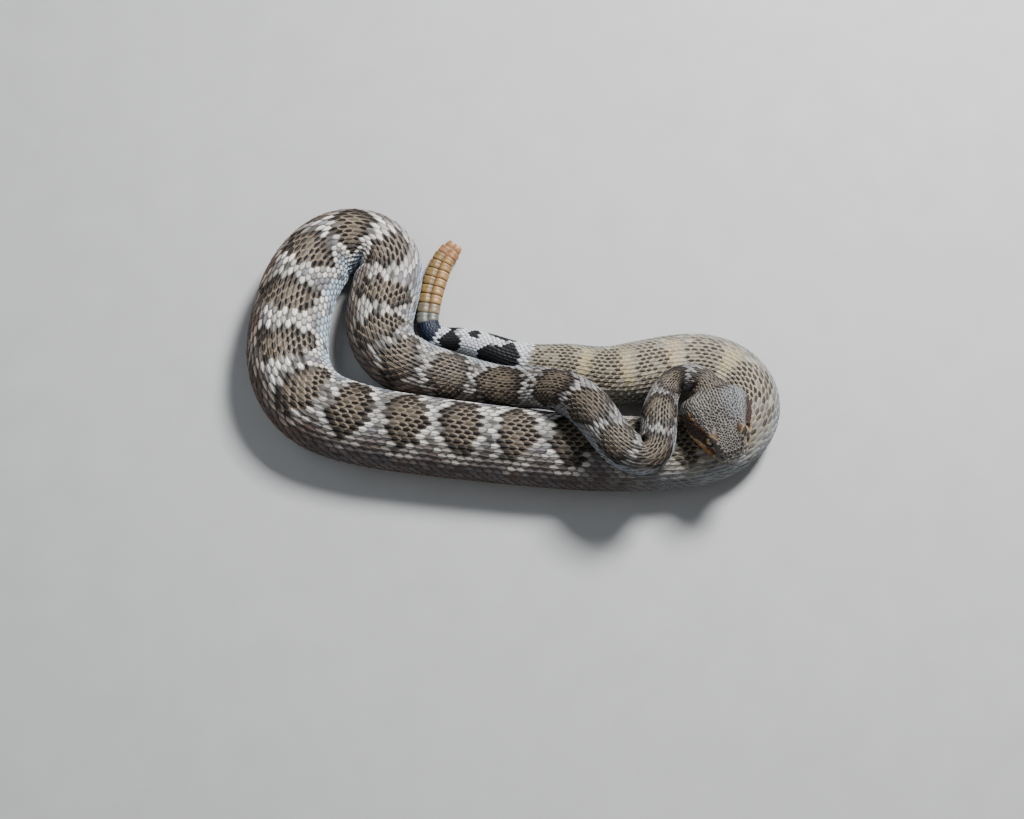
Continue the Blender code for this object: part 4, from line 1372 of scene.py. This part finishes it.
    def build(self) -> list:
        """Return the coat of the head as a list of pieces."""
        self.note_plates()
        coat = lay_coat("head_coat", self.hide, [self.crown_batch()], -HEAD_LENGTH - 3, 3)
        throat = lay_coat("throat_coat", self.hide, [self.throat_batch()], -HEAD_LENGTH - 3, 3)
        plates = lay_coat("head_plates", self.hide, [self.plate_batch()], -HEAD_LENGTH - 3, 3)
        return [coat, throat, plates, self.brows(), self.lip_ends()]

    def brows(self) -> bpy.types.Object:
        """Make the two brow plates that overhang the eyes."""
        rows, lanes = 13, 9
        sheet = rows * lanes
        corner = np.arange(sheet).reshape(rows, lanes)[:-1, :-1].ravel()
        quads = [[k, k + 1, k + lanes + 1, k + lanes] for k in corner]
        loop = list(range(lanes)) + [i * lanes + lanes - 1 for i in range(1, rows)]
        loop += [(rows - 1) * lanes + j for j in range(lanes - 2, -1, -1)]
        loop += [i * lanes for i in range(rows - 2, 0, -1)]
        points, tints, faces = [], [], []
        for half in Half:
            top = len(points)
            below = top + sheet
            for upper in (True, False):
                for t in np.linspace(0, 1, rows):
                    for u in np.linspace(0, 1, lanes):
                        place, shade = self._brow_point(t, u, upper)
                        points.append((half.value * place[0], *place[1:]))
                        tints.append(shade)
            found = []
            for quad in quads:
                found += [[top + n for n in quad], [below + n for n in quad[::-1]]]
            for k, n in zip(loop, loop[1:] + loop[:1]):
                found.append([top + n, top + k, below + k, below + n])
            faces += found if half is Half.LEFT else [face[::-1] for face in found]
        points = head_to_world(np.array(points))
        faces = np.array(faces)
        flat = (points - points.min(0)) / (points.max(0) - points.min(0))
        bake = np.stack([0.02 + 0.46 * flat[:, 0], 0.02 + 0.9 * flat[:, 1]], 1)
        bake[sheet:2 * sheet, 0] += 0.5
        bake[3 * sheet:, 0] += 0.5
        tints = np.array(tints)
        bake = bake[faces.ravel()]
        return write_mesh("brow_plates", points, [faces], tints, tints, bake, points * 0, sharp=40)

    def _brow_point(self, t: float, u: float, upper: bool) -> tuple:
        """Return a point of the left brow plate and its colour.

        Args:
            t: How far back along the plate it is, from 0 to 1.
            u: How far out across the plate it is, from 0 to 1.
            upper: Whether it is on the upper side.

        Returns:
            The point in the head's own axes, in mm, and its colour.
        """
        swell = np.sin(np.pi * np.clip(t, 0.03, 0.97))**0.5
        inner, outer = BROW[0] - 0.1 - 2.0 * swell, BROW[0] + 0.5 + 2.6 * swell
        x = inner + (outer - inner) * u
        back = BROW[1] + BROW_LENGTH * (t - 0.5) - 0.8 * (u - 0.5)
        crown, ridge = (float(smooth_table(tuple((row[0], row[k]) for row in HEAD), np.array(back)))
                        for k in (1, 3))
        z = crown + (ridge - crown) * ramp(3.0, 9.0, x) - 0.5 * ramp(9.6, 11.6, x)
        z = z + (-0.22 + 0.36 * ((1 - (2 * u - 1)**4) * swell) if upper else -0.75 - 0.2 * (1 - u))
        rim_share = max(abs(2 * u - 1), abs(2 * t - 1))**3
        colour = self.place.markings.colour
        line = abs((back - BROW[1] + 1.2) - (x - BROW[0]) * 1.1)
        # Painted shade: the underside of each brow plate is painted at half brightness.
        shade = colour("crown_core") * 1.5 * (1 - 0.45 * rim_share) * (1 if upper else 0.5)
        if upper and line < 0.7:
            shade = colour("pale_line") * (0.55 - 0.2 * abs(line))
        elif upper and back > BROW[1] - 1.5 + (x - BROW[0]):
            shade = colour("mask_rim") * (1.0 - 0.35 * rim_share)
        return (x, back, z), shade

    def front_tree(self) -> BVHTree:
        """Return the front of the skin in the head's own axes, to lay plates on."""
        rows = np.flatnonzero(self.hide.at < -36)
        grid = world_to_head(self.hide.point[rows, :-1])
        wide = grid.shape[1]
        points = [tuple(point) for point in grid.reshape(-1, 3)] + [tuple(grid[0].mean(0))]
        faces = [((j + 1) % wide, j, len(points) - 1) for j in range(wide)]
        for first in range(0, (len(rows) - 1) * wide, wide):
            near, far = first, first + wide
            faces += [(near + j, near + (j + 1) % wide, far + (j + 1) % wide, far + j) for j in range(wide)]
        return BVHTree.FromPolygons(points, faces)

    def lip_ends(self) -> bpy.types.Object:
        """Make the plates at the front of the snout and of the lower jaw."""
        tree = self.front_tree()
        cut = tile_cut(16, 3.0)
        points, tints, faces, bakes = [], [], [], []
        plates = [(side * row[0], *row[1:]) for row in FRONT_PLATES for side in ((1, -1) if row[0] else (1,))]
        for number, (middle, height, wide, tall, name) in enumerate(plates):
            base = len(points)
            shade = self.place.markings.colour(name) * (0.9 + 0.2 * (number % 3) / 2)
            spot = np.array((0.06 + 0.125 * (number % 8), 0.06 + 0.2 * (number // 8)))
            for a, c, dome, margin, under in zip(cut.along, cut.across, cut.dome, cut.margin, cut.under):
                x, z = middle + c * wide, height + 2 * a * tall
                place, normal, _, _ = tree.ray_cast((x, -8.0, z), (0, 1, 0))
                if place is None:
                    place, normal, _, _ = tree.find_nearest((x, 0.0, z))
                normal = np.array(normal) * (-1 if normal[1] > 0 else 1)
                points.append(np.array(place) + normal * (0.14 + 0.26 * dome - 0.34 * under))
                # Painted shade: the undersides of the plates are painted darker.
                tints.append(shade * (1 - 0.35 * margin) * (0.6 if under else 1.0))
                bakes.append(spot + (c * 0.04, a * 0.06) + np.array((0.0, 0.09)) * under)
            faces += [[base + n for n in face] for face in cut.faces]
        sizes = sorted({len(face) for face in faces})
        blocks = [np.array([face for face in faces if len(face) == size]) for size in sizes]
        flat = np.concatenate([block.ravel() for block in blocks])
        return write_mesh("lip_plates", head_to_world(np.array(points)), blocks, np.array(tints),
                          np.array(tints), np.array(bakes)[flat], np.zeros((len(points), 3)), sharp=40)


@dataclass
class Rattle:
    """The rattle: a row of horny rings, each of two lobes."""

    route: Route
    seed: int = 3
    around: int = 72
    profile: tuple = ((0.0, 0.87), (0.04, 0.90), (0.10, 0.955), (0.22, 0.985), (0.40, 0.99), (0.52, 0.98),
                      (0.58, 0.972), (0.64, 0.982), (0.76, 1.0), (0.88, 0.985), (0.95, 0.955), (0.985, 0.88))
    stub: tuple = ((0.1, 0.84), (0.25, 0.9), (0.55, 0.9), (0.8, 0.86), (1.0, 0.78), (0.92, 0.60), (0.5, 0.3))
    # Painted light and shade: the two lobes are one horn, the left painted lighter and the right darker as
    # light falls.
    lobe_left: str = "a07c48"
    lobe_right: str = "8d7140"
    groove: str = "5c3b18"
    seam: str = "22130a"
    basal: str = "5d615f"
    tip: str = "a2714a"

    def outline(self) -> tuple:
        """Return the unit section of a ring, with a groove between its lobes on both broad sides."""
        angle = np.pi / 2 - np.arange(self.around) / self.around * 2 * np.pi
        across, height = np.cos(angle), np.sin(angle)
        x = np.sign(across) * np.abs(across)**0.8
        z = np.sign(height) * np.abs(height)**0.7
        return x, z * (1 - 0.2 * np.exp(-(x / 0.2)**2))

    def stations(self) -> list:
        """Return the distance, the width, the share of its ring and the ring's number of each row."""
        found = []
        at = BODY_END + 0.15
        for number, (pitch, width) in enumerate(zip(RATTLE_RINGS, RATTLE_WIDTHS)):
            found += [(at + share * pitch, width * size, share, number) for share, size in self.profile]
            at += pitch
        for share, size in self.stub:
            found.append((at + share * RATTLE_STUB, RATTLE_WIDTHS[-1] * size, 0.5, len(RATTLE_RINGS)))
        return found

    def row(self, where: float, width: float, broken: bool) -> Array:
        """Return the row of points at a distance, uneven where the rattle is broken off."""
        x, z = self.outline()
        centre, side, up = (self.route.read(values, np.array([where]))[0]
                            for values in (self.route.points, self.route.side, self.route.up))
        half = width / 2
        lift = RATTLE_WIDTHS[3] * RATTLE_THICKNESS * 0.5
        ragged = 0.35 * np.sin(x * 9 + 2.0) * broken
        points = centre + up * lift + side[None] * (x * half)[:, None]
        points = points + up[None] * (z * half * RATTLE_THICKNESS)[:, None]
        return points + np.cross(up, side)[None] * (ragged * 0.6)[:, None]

    def shade(self, lobes: Array, share: float, number: int, luck: float) -> Array:
        """Return the colours of a row.

        Args:
            lobes: The colours of the two lobes and the groove, round the row.
            share: Where the row lies in its ring, from 0 to 1.
            number: The ring's number from the tail.
            luck: A random number from 0 to 1.

        Returns:
            A colour for each point of the row.
        """
        dark = max(float(ramp(0.10, 0.02, np.array(share))), float(ramp(0.93, 0.985, np.array(share))))
        basal = (0.9, 0.5)[number] if number < 2 else 0.0
        worn = 0.75 if number >= len(RATTLE_RINGS) - 1 else 0.0
        waist = float(np.exp(-((share - 0.58) / 0.06)**2)) * 0.6
        shade = lobes * (0.86 + 0.2 * luck)
        for code, cover in ((self.seam, dark * 0.9), (self.basal, basal), (self.tip, worn)):
            shade = blend(shade, tone(code), np.full(len(lobes), cover))
        return blend(shade, shade * 0.62, np.full(len(lobes), waist))

    def build(self) -> bpy.types.Object:
        """Return the whole rattle as one closed piece."""
        random = np.random.default_rng(self.seed)
        x, z = self.outline()
        # Painted light and shade: the left lobe lighter than the right.
        lobes = np.repeat(tone(self.lobe_right)[None], len(x), 0)
        lobes = blend(lobes, tone(self.lobe_left), ramp(-0.25, 0.25, x))
        lobes = blend(lobes, tone(self.groove), np.exp(-(x / 0.16)**2) * (z > 0) * 0.8)
        grid, tints = [], []
        for where, width, share, number in self.stations():
            grid.append(self.row(where, width, number == len(RATTLE_RINGS)))
            tints.append(self.shade(lobes, share, number, random.uniform()))
        count, rows = self.around, len(grid)
        points = np.concatenate([*grid, grid[0].mean(0)[None], grid[-1].mean(0)[None]])
        # Painted shade: the middles of the end caps, inside the tail and in the broken end, are painted dark.
        tints = np.concatenate([*tints, tints[0][:1] * 0.3, tints[-1][:1] * 0.35])
        j = np.arange(count)
        k = (j + 1) % count
        last = (rows - 1) * count
        ends = np.concatenate([np.stack([j, k, j * 0 + rows * count], 1),
                               np.stack([last + k, last + j, j * 0 + rows * count + 1], 1)])
        r, right, left = np.repeat(np.arange(rows - 1), count), np.tile(j, rows - 1), np.tile(k, rows - 1)
        quads = np.stack([r * count + left, r * count + right, (r + 1) * count + right,
                          (r + 1) * count + left], 1)
        spots = (((j, 0), (j + 1, 0), (j + 0.5, -1.2)), ((j + 1, rows), (j, rows), (j + 0.5, rows + 2.0)),
                 ((right + 1, r), (right, r), (right, r + 1), (right + 1, r + 1)))
        bake = [np.stack([np.stack(np.broadcast_arrays(*spot), 1) for spot in corners], 1).reshape(-1, 2)
                for corners in spots]
        bake = (0.03 + 0.88 * np.concatenate(bake) / (count, rows)).clip(0, 1)
        return write_mesh("rattle_horn", points, [ends, quads], tints, tints, bake, points * 0, sharp=35)


@dataclass
class EyePair:
    """The eyes: glossy balls with a bronze iris and an upright slit."""

    segments: int = 40
    rings: int = 24

    def build(self, half: Half) -> bpy.types.Object:
        """Return the eye of one side.

        Args:
            half: The side of the head.

        Returns:
            A ball with an axis that looks out from the head.
        """
        name = "left_eyeball" if half is Half.LEFT else "right_eyeball"
        centre = head_to_world(np.array((half.value * EYE[0], EYE[1], EYE[2]))) * MM
        bpy.ops.object.select_all(action="DESELECT")
        bpy.ops.mesh.primitive_uv_sphere_add(segments=self.segments, ring_count=self.rings,
                                             radius=EYE_RADIUS * MM, location=(0, 0, 0))
        eye = bpy.context.object
        eye.name = name
        eye.rotation_euler = (0, np.radians(90 * half.value), np.radians(HEAD_TURN + 7 * half.value))
        eye.location = centre
        bpy.ops.object.transform_apply(location=True, rotation=True, scale=True)
        bpy.ops.object.shade_smooth()
        points = np.zeros(len(eye.data.vertices) * 3)
        eye.data.vertices.foreach_get("co", points)
        gaze = (points.reshape(-1, 3) - centre) / (EYE_RADIUS * MM)
        _, across, back = head_frame()
        local = np.stack([gaze @ back, gaze[:, 2], gaze @ across * half.value], 1)
        layer = eye.data.attributes.new("gaze", "FLOAT_VECTOR", "POINT")
        layer.data.foreach_set("vector", local.astype(np.float32).ravel())
        return eye


class Nodes:
    """A thin hand on a node tree."""

    def __init__(self, tree: bpy.types.NodeTree) -> None:
        """Take the tree to work on."""
        self.tree = tree

    def add(self, kind: str, inputs: dict | None = None, **settings: object) -> bpy.types.Node:
        """Add a node, set its properties and its inputs.

        Args:
            kind: The node's type.
            inputs: Values or sockets by input name or number.
            settings: Properties of the node.

        Returns:
            The node.
        """
        node = self.tree.nodes.new(kind)
        for name, value in settings.items():
            setattr(node, name, value)
        for name, value in (inputs or {}).items():
            if isinstance(value, bpy.types.NodeSocket):
                self.tree.links.new(value, node.inputs[name])
            else:
                node.inputs[name].default_value = value
        return node

    def link(self, source: bpy.types.NodeSocket, node: bpy.types.Node, name: str) -> None:
        """Lead a socket into a node's input."""
        self.tree.links.new(source, node.inputs[name])

    def math(self, operation: str, *values: object) -> bpy.types.NodeSocket:
        """Add a Math node and return its result."""
        node = self.add("ShaderNodeMath", dict(enumerate(values)), operation=operation)
        return node.outputs[0]

    def spread(self, value: object, low: float, high: float, to_low: float,
               to_high: float) -> bpy.types.NodeSocket:
        """Map a value from one range to another, held at its ends."""
        node = self.add("ShaderNodeMapRange", {"Value": value, "From Min": low, "From Max": high,
                                               "To Min": to_low, "To Max": to_high})
        return node.outputs["Result"]

    def noise(self, vector: object, scale: object, detail: float = 4.0) -> bpy.types.NodeSocket:
        """Add a noise and return its value."""
        node = self.add("ShaderNodeTexNoise", {"Vector": vector, "Scale": scale, "Detail": detail})
        return node.outputs["Fac"]

    def grey(self, level: bpy.types.NodeSocket) -> bpy.types.NodeSocket:
        """Turn a value into a grey."""
        return self.add("ShaderNodeCombineColor", {0: level, 1: level, 2: level}).outputs[0]

    def bump(self, strength: float, depth: float, height: bpy.types.NodeSocket) -> bpy.types.NodeSocket:
        """Add a bump of a depth in metres and return its normals."""
        node = self.add("ShaderNodeBump", {"Strength": strength, "Distance": depth, "Height": height})
        return node.outputs["Normal"]

    def mix(self, share: object, first: object, second: object, how: str = "MIX") -> bpy.types.NodeSocket:
        """Mix two colours and return the result."""
        node = self.add("ShaderNodeMix", {0: share, 6: first, 7: second}, data_type="RGBA", blend_type=how)
        return node.outputs[2]


def open_group(name: str, inputs: dict, outputs: dict) -> tuple:
    """Start a node group.

    Args:
        name: Its name.
        inputs: The standing value of each input, by name.
        outputs: The socket type of each output, by name.

    Returns:
        A hand on its nodes, its input node and its output node.
    """
    tree = bpy.data.node_groups.new(name, "ShaderNodeTree")
    for label, value in inputs.items():
        socket = tree.interface.new_socket(label, in_out="INPUT", socket_type="NodeSocketFloat")
        socket.default_value = value
    for label, kind in outputs.items():
        tree.interface.new_socket(label, in_out="OUTPUT", socket_type=kind)
    nodes = Nodes(tree)
    return nodes, nodes.add("NodeGroupInput"), nodes.add("NodeGroupOutput")


def mottle_group() -> bpy.types.NodeTree:
    """Return the group that varies a surface: small specks, soft clouds and pores, each a mask."""
    name = "mottle"
    if name in bpy.data.node_groups:
        return bpy.data.node_groups[name]
    nodes, source, target = open_group(name, {"Fine Scale": 2500, "Broad Scale": 120},
                                       dict.fromkeys(("Specks", "Clouds", "Pores"), "NodeSocketFloat"))
    where = nodes.add("ShaderNodeTexCoord").outputs["Object"]
    fine = nodes.noise(where, source.outputs["Fine Scale"], 3.0)
    broad = nodes.noise(where, source.outputs["Broad Scale"], 3.0)
    pores = nodes.add("ShaderNodeTexVoronoi", {"Vector": where, "Scale": source.outputs["Fine Scale"]})
    nodes.link(nodes.spread(fine, 0.35, 0.68, 0, 1), target, "Specks")
    nodes.link(nodes.spread(broad, 0.3, 0.7, 0, 1), target, "Clouds")
    nodes.link(nodes.spread(pores.outputs["Distance"], 0.0, 0.7, 0, 1), target, "Pores")
    return nodes.tree


def scale_colour_group() -> bpy.types.NodeTree:
    """Return the group that gives a scale its middle and its margin, with an uneven line between."""
    name = "scale_colour"
    if name in bpy.data.node_groups:
        return bpy.data.node_groups[name]
    nodes, source, target = open_group(name, {"Specks": 0.0, "Clouds": 0.0, "Speck Depth": 0.3},
                                       {"Color": "NodeSocketColor"})
    tint = nodes.add("ShaderNodeAttribute", attribute_name="tint").outputs["Color"]
    rim = nodes.add("ShaderNodeAttribute", attribute_name="rim").outputs["Color"]
    grain = nodes.add("ShaderNodeAttribute", attribute_name="grain").outputs["Vector"]
    margin = nodes.add("ShaderNodeSeparateXYZ", {0: grain}).outputs["Z"]
    uneven = nodes.spread(source.outputs["Specks"], 0.0, 1.0, -0.14, 0.14)
    share = nodes.spread(nodes.math("ADD", margin, uneven), 0.42, 0.82, 0.0, 1.0)
    low = nodes.math("SUBTRACT", 1.0, source.outputs["Speck Depth"])
    dark = nodes.math("MULTIPLY_ADD", source.outputs["Specks"],
                      nodes.math("MULTIPLY", source.outputs["Speck Depth"], 1.6), low)
    cloud = nodes.spread(source.outputs["Clouds"], 0.0, 1.0, 0.88, 1.10)
    grey = nodes.grey(nodes.math("MULTIPLY", dark, cloud))
    nodes.link(nodes.mix(1.0, nodes.mix(share, tint, rim), grey, "MULTIPLY"), target, "Color")
    return nodes.tree


def new_material(name: str) -> tuple:
    """Return a new material, a hand on its nodes and its shader."""
    material = bpy.data.materials.new(name)
    material.use_nodes = True
    return material, Nodes(material.node_tree), material.node_tree.nodes["Principled BSDF"]


def scaly_material(name: str, scales: tuple, speck: float, rough: tuple, specular: float) -> tuple:
    """Make a material with the colour and the gloss that all scales share.

    Args:
        name: Its name.
        scales: Fineness of its specks and of its clouds.
        speck: How dark its specks are.
        rough: Roughness between specks and on them.
        specular: Strength of its gloss.

    Returns:
        The material, a hand on its nodes, its shader and its mottle node.
    """
    material, nodes, shader = new_material(name)
    mottle = nodes.add("ShaderNodeGroup", node_tree=mottle_group())
    paint = nodes.add("ShaderNodeGroup", node_tree=scale_colour_group())
    for node, values in ((mottle, {"Fine Scale": scales[0], "Broad Scale": scales[1]}),
                         (paint, {"Speck Depth": speck}), (shader, {"Specular IOR Level": specular})):
        for label, value in values.items():
            node.inputs[label].default_value = value
    nodes.link(mottle.outputs["Specks"], paint, "Specks")
    nodes.link(mottle.outputs["Clouds"], paint, "Clouds")
    nodes.link(paint.outputs["Color"], shader, "Base Color")
    nodes.link(nodes.spread(mottle.outputs["Specks"], 0.0, 1.0, *rough), shader, "Roughness")
    return material, nodes, shader, mottle


@dataclass(frozen=True)
class HideFinish:
    """A dry, scaly surface that takes its colour from the piece."""

    name: str
    roughness: float = 0.5
    specular: float = 0.4
    fine: float = 2400.0
    broad: float = 90.0
    speck: float = 0.35
    bump: float = 0.25

    def material(self) -> bpy.types.Material:
        """Return the finish as a material."""
        rough = (self.roughness + 0.08, self.roughness - 0.08)
        material, nodes, shader, mottle = scaly_material(
            self.name, (self.fine, self.broad), self.speck, rough, self.specular)
        height = nodes.math("ADD", mottle.outputs["Specks"], mottle.outputs["Pores"])
        nodes.link(nodes.bump(self.bump, 0.00008, height), shader, "Normal")
        return material


@dataclass(frozen=True)
class ScaleFinish:
    """A keeled scale: fine ridges beside its keel, a worn pale margin and a dull gloss."""

    name: str
    roughness: float = 0.5
    specular: float = 0.32
    fine: float = 2200.0
    broad: float = 140.0
    speck: float = 0.36
    ridges: float = 5.5

    def material(self) -> bpy.types.Material:
        """Return the finish as a material."""
        rough = (self.roughness + 0.1, self.roughness - 0.08)
        material, nodes, shader, mottle = scaly_material(
            self.name, (self.fine, self.broad), self.speck, rough, self.specular)
        grain = nodes.add("ShaderNodeAttribute", attribute_name="grain").outputs["Vector"]
        across = nodes.add("ShaderNodeSeparateXYZ", {0: grain}).outputs["Y"]
        wave = nodes.math("SINE", nodes.math("MULTIPLY", across, self.ridges * 2))
        height = nodes.math("ADD", nodes.spread(wave, -1.0, 1.0, 0.0, 0.6), mottle.outputs["Specks"])
        nodes.link(nodes.bump(0.3, 0.00007, height), shader, "Normal")
        return material


@dataclass(frozen=True)
class HornFinish:
    """The rattle's horn: streaked, waxy and a little clear at its lobes."""

    name: str
    roughness: float = 0.44

    def material(self) -> bpy.types.Material:
        """Return the finish as a material."""
        material, nodes, shader = new_material(self.name)
        tint = nodes.add("ShaderNodeAttribute", attribute_name="tint").outputs["Color"]
        mottle = nodes.add("ShaderNodeGroup", node_tree=mottle_group())
        mottle.inputs["Fine Scale"].default_value = 1500.0
        mottle.inputs["Broad Scale"].default_value = 320.0
        specks, clouds = mottle.outputs["Specks"], mottle.outputs["Clouds"]
        streaks, depth = nodes.spread(specks, 0, 1, 0.82, 1.12), nodes.spread(clouds, 0, 1, 0.72, 1.2)
        grey = nodes.grey(nodes.math("MULTIPLY", streaks, depth))
        nodes.link(nodes.mix(1.0, tint, grey, "MULTIPLY"), shader, "Base Color")
        rough = nodes.spread(clouds, 0.0, 1.0, self.roughness + 0.14, self.roughness - 0.06)
        nodes.link(rough, shader, "Roughness")
        shader.inputs["Coat Weight"].default_value = 0.08
        shader.inputs["Coat Roughness"].default_value = 0.25
        nodes.link(nodes.bump(0.25, 0.0001, specks), shader, "Normal")
        return material


@dataclass(frozen=True)
class EyeFinish:
    """The eye: a bronze iris with dark flecks, an upright slit and a wet gloss."""

    name: str
    iris: str = "a98f55"
    fleck: str = "4a3a1e"
    slit: str = "060504"
    slit_width: float = 0.15
    slit_height: float = 0.66

    def material(self) -> bpy.types.Material:
        """Return the finish as a material."""
        material, nodes, shader = new_material(self.name)
        gaze = nodes.add("ShaderNodeAttribute", attribute_name="gaze").outputs["Vector"]
        parts = nodes.add("ShaderNodeSeparateXYZ", {0: gaze})
        x = nodes.math("DIVIDE", parts.outputs["X"], self.slit_width)
        y = nodes.math("DIVIDE", parts.outputs["Y"], self.slit_height)
        squares = nodes.math("ADD", nodes.math("MULTIPLY", x, x), nodes.math("MULTIPLY", y, y))
        far = nodes.math("SQRT", squares)
        slit = nodes.spread(far, 1.12, 0.92, 0.0, 1.0)
        speck = nodes.spread(nodes.noise(gaze, 9.0, 6.0), 0.45, 0.62, 0.0, 0.85)
        edge = nodes.spread(parts.outputs["Z"], 0.62, 0.30, 0.0, 0.9)
        iris, dark, black = ((*tone(code), 1.0) for code in (self.iris, self.fleck, self.slit))
        colour = nodes.mix(speck, iris, dark)
        colour = nodes.mix(edge, colour, black)
        colour = nodes.mix(slit, colour, black)
        nodes.link(colour, shader, "Base Color")
        shader.inputs["Roughness"].default_value = 0.12
        shader.inputs["Coat Weight"].default_value = 1.0
        shader.inputs["Coat Roughness"].default_value = 0.04
        return material


@dataclass(frozen=True)
class FloorFinish:
    """A plain pale floor."""

    name: str = "pale_floor"

    def material(self) -> bpy.types.Material:
        """Return the finish as a material."""
        material, nodes, shader = new_material(self.name)
        where = nodes.add("ShaderNodeTexCoord").outputs["Object"]
        shade = nodes.spread(nodes.noise(where, 40.0), 0.3, 0.7, 0.47, 0.50)
        nodes.link(nodes.grey(shade), shader, "Base Color")
        shader.inputs["Roughness"].default_value = 0.9
        return material


@dataclass
class Studio:
    """The floor, the soft lights and the camera at the photograph's angle."""

    distance: float = 0.95
    elevation: float = 72.0
    target: tuple = (-0.00014, -0.03474, 0.0)
    lens: float = 55.66
    floor_size: float = 4.0

    def build(self) -> None:
        """Make the floor, the lights and the camera."""
        bpy.ops.object.select_all(action="DESELECT")
        bpy.ops.mesh.primitive_plane_add(size=self.floor_size, location=(0, 0, -0.0001))
        floor = bpy.context.object
        floor.name = "studio_floor"
        bpy.ops.object.transform_apply(location=True, rotation=True, scale=True)
        floor.data.materials.append(FloorFinish().material())
        self._light("key_light", (0.50, 0.62, 0.95), 0.32, 35.0, (0.985, 0.985, 0.985))
        self._light("fill_light", (-0.85, 0.15, 0.9), 1.0, 3.0, (0.90, 0.96, 1.0))
        self._light("front_light", (0.1, -1.1, 0.7), 0.9, 1.8, (0.94, 0.97, 1.0))
        world = bpy.data.worlds.new("studio")
        world.use_nodes = True
        world.node_tree.nodes["Background"].inputs["Color"].default_value = (0.86, 0.92, 1.0, 1)
        world.node_tree.nodes["Background"].inputs["Strength"].default_value = 0.13
        bpy.context.scene.world = world
        angle = np.radians(self.elevation)
        data = bpy.data.cameras.new("camera")
        data.lens = self.lens
        data.sensor_width = 36.0
        data.sensor_fit = "HORIZONTAL"
        data.clip_start = 0.01
        camera = bpy.data.objects.new("camera", data)
        x, y, z = self.target
        camera.location = (x, y - self.distance * np.cos(angle), z + self.distance * np.sin(angle))
        camera.rotation_euler = (np.pi / 2 - angle, 0, 0)
        bpy.context.scene.collection.objects.link(camera)
        bpy.context.scene.camera = camera

    def _light(self, name: str, place: tuple, size: float, power: float, colour: tuple) -> None:
        """Hang a square soft light that faces the animal."""
        data = bpy.data.lights.new(name, "AREA")
        data.size = size
        data.energy = power
        data.color = colour
        light = bpy.data.objects.new(name, data)
        light.location = place
        away = np.array(place) - np.array((0, -0.03, 0.02))
        light.rotation_euler = (np.arctan2(np.hypot(away[0], away[1]), away[2]), 0,
                                np.arctan2(away[1], away[0]) + np.pi / 2)
        bpy.context.scene.collection.objects.link(light)


def dress(piece: bpy.types.Object, material: bpy.types.Material) -> None:
    """Give a piece its material and its body, and report it."""
    piece.data.materials.clear()
    piece.data.materials.append(material)
    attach(piece, "root")
    LOG.info("%s: %d faces", piece.name, len(piece.data.polygons))


def main() -> None:
    """Build the animal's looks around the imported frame."""
    logging.basicConfig(level=logging.INFO, format="%(name)s %(message)s")
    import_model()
    route = Route()
    hide = Hide(route)
    place = Place(hide, Markings())
    skin = SkinPiece(hide, place).build()
    dress(skin, HideFinish("gap_skin", roughness=0.62, specular=0.3).material())
    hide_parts("head", "lower_jaw", "neck", "front_bend", "middle_run", "inner_loop", "outer_loop",
                "lower_run", "right_loop", "rear_body", "tail")
    scale = ScaleFinish("keeled_scale").material()
    back_coat = BackCoat(hide, place)
    for piece in back_coat.build():
        dress(piece, scale)
    plate = HideFinish("smooth_plate", roughness=0.46, specular=0.45, speck=0.25).material()
    for piece in HeadCoat(hide, place, back_coat).build():
        dress(piece, scale if piece.name == "head_coat" else plate)
    rattle = Rattle(route).build()
    dress(rattle, HornFinish("rattle_horn_finish").material())
    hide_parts("rattle")
    eye_finish = EyeFinish("eye_finish").material()
    for half, node in ((Half.LEFT, "eye_left"), (Half.RIGHT, "eye_right")):
        eye = EyePair().build(half)
        dress(eye, eye_finish)
        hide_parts(node)
    Studio().build()


if __name__ == "__main__":
    main()
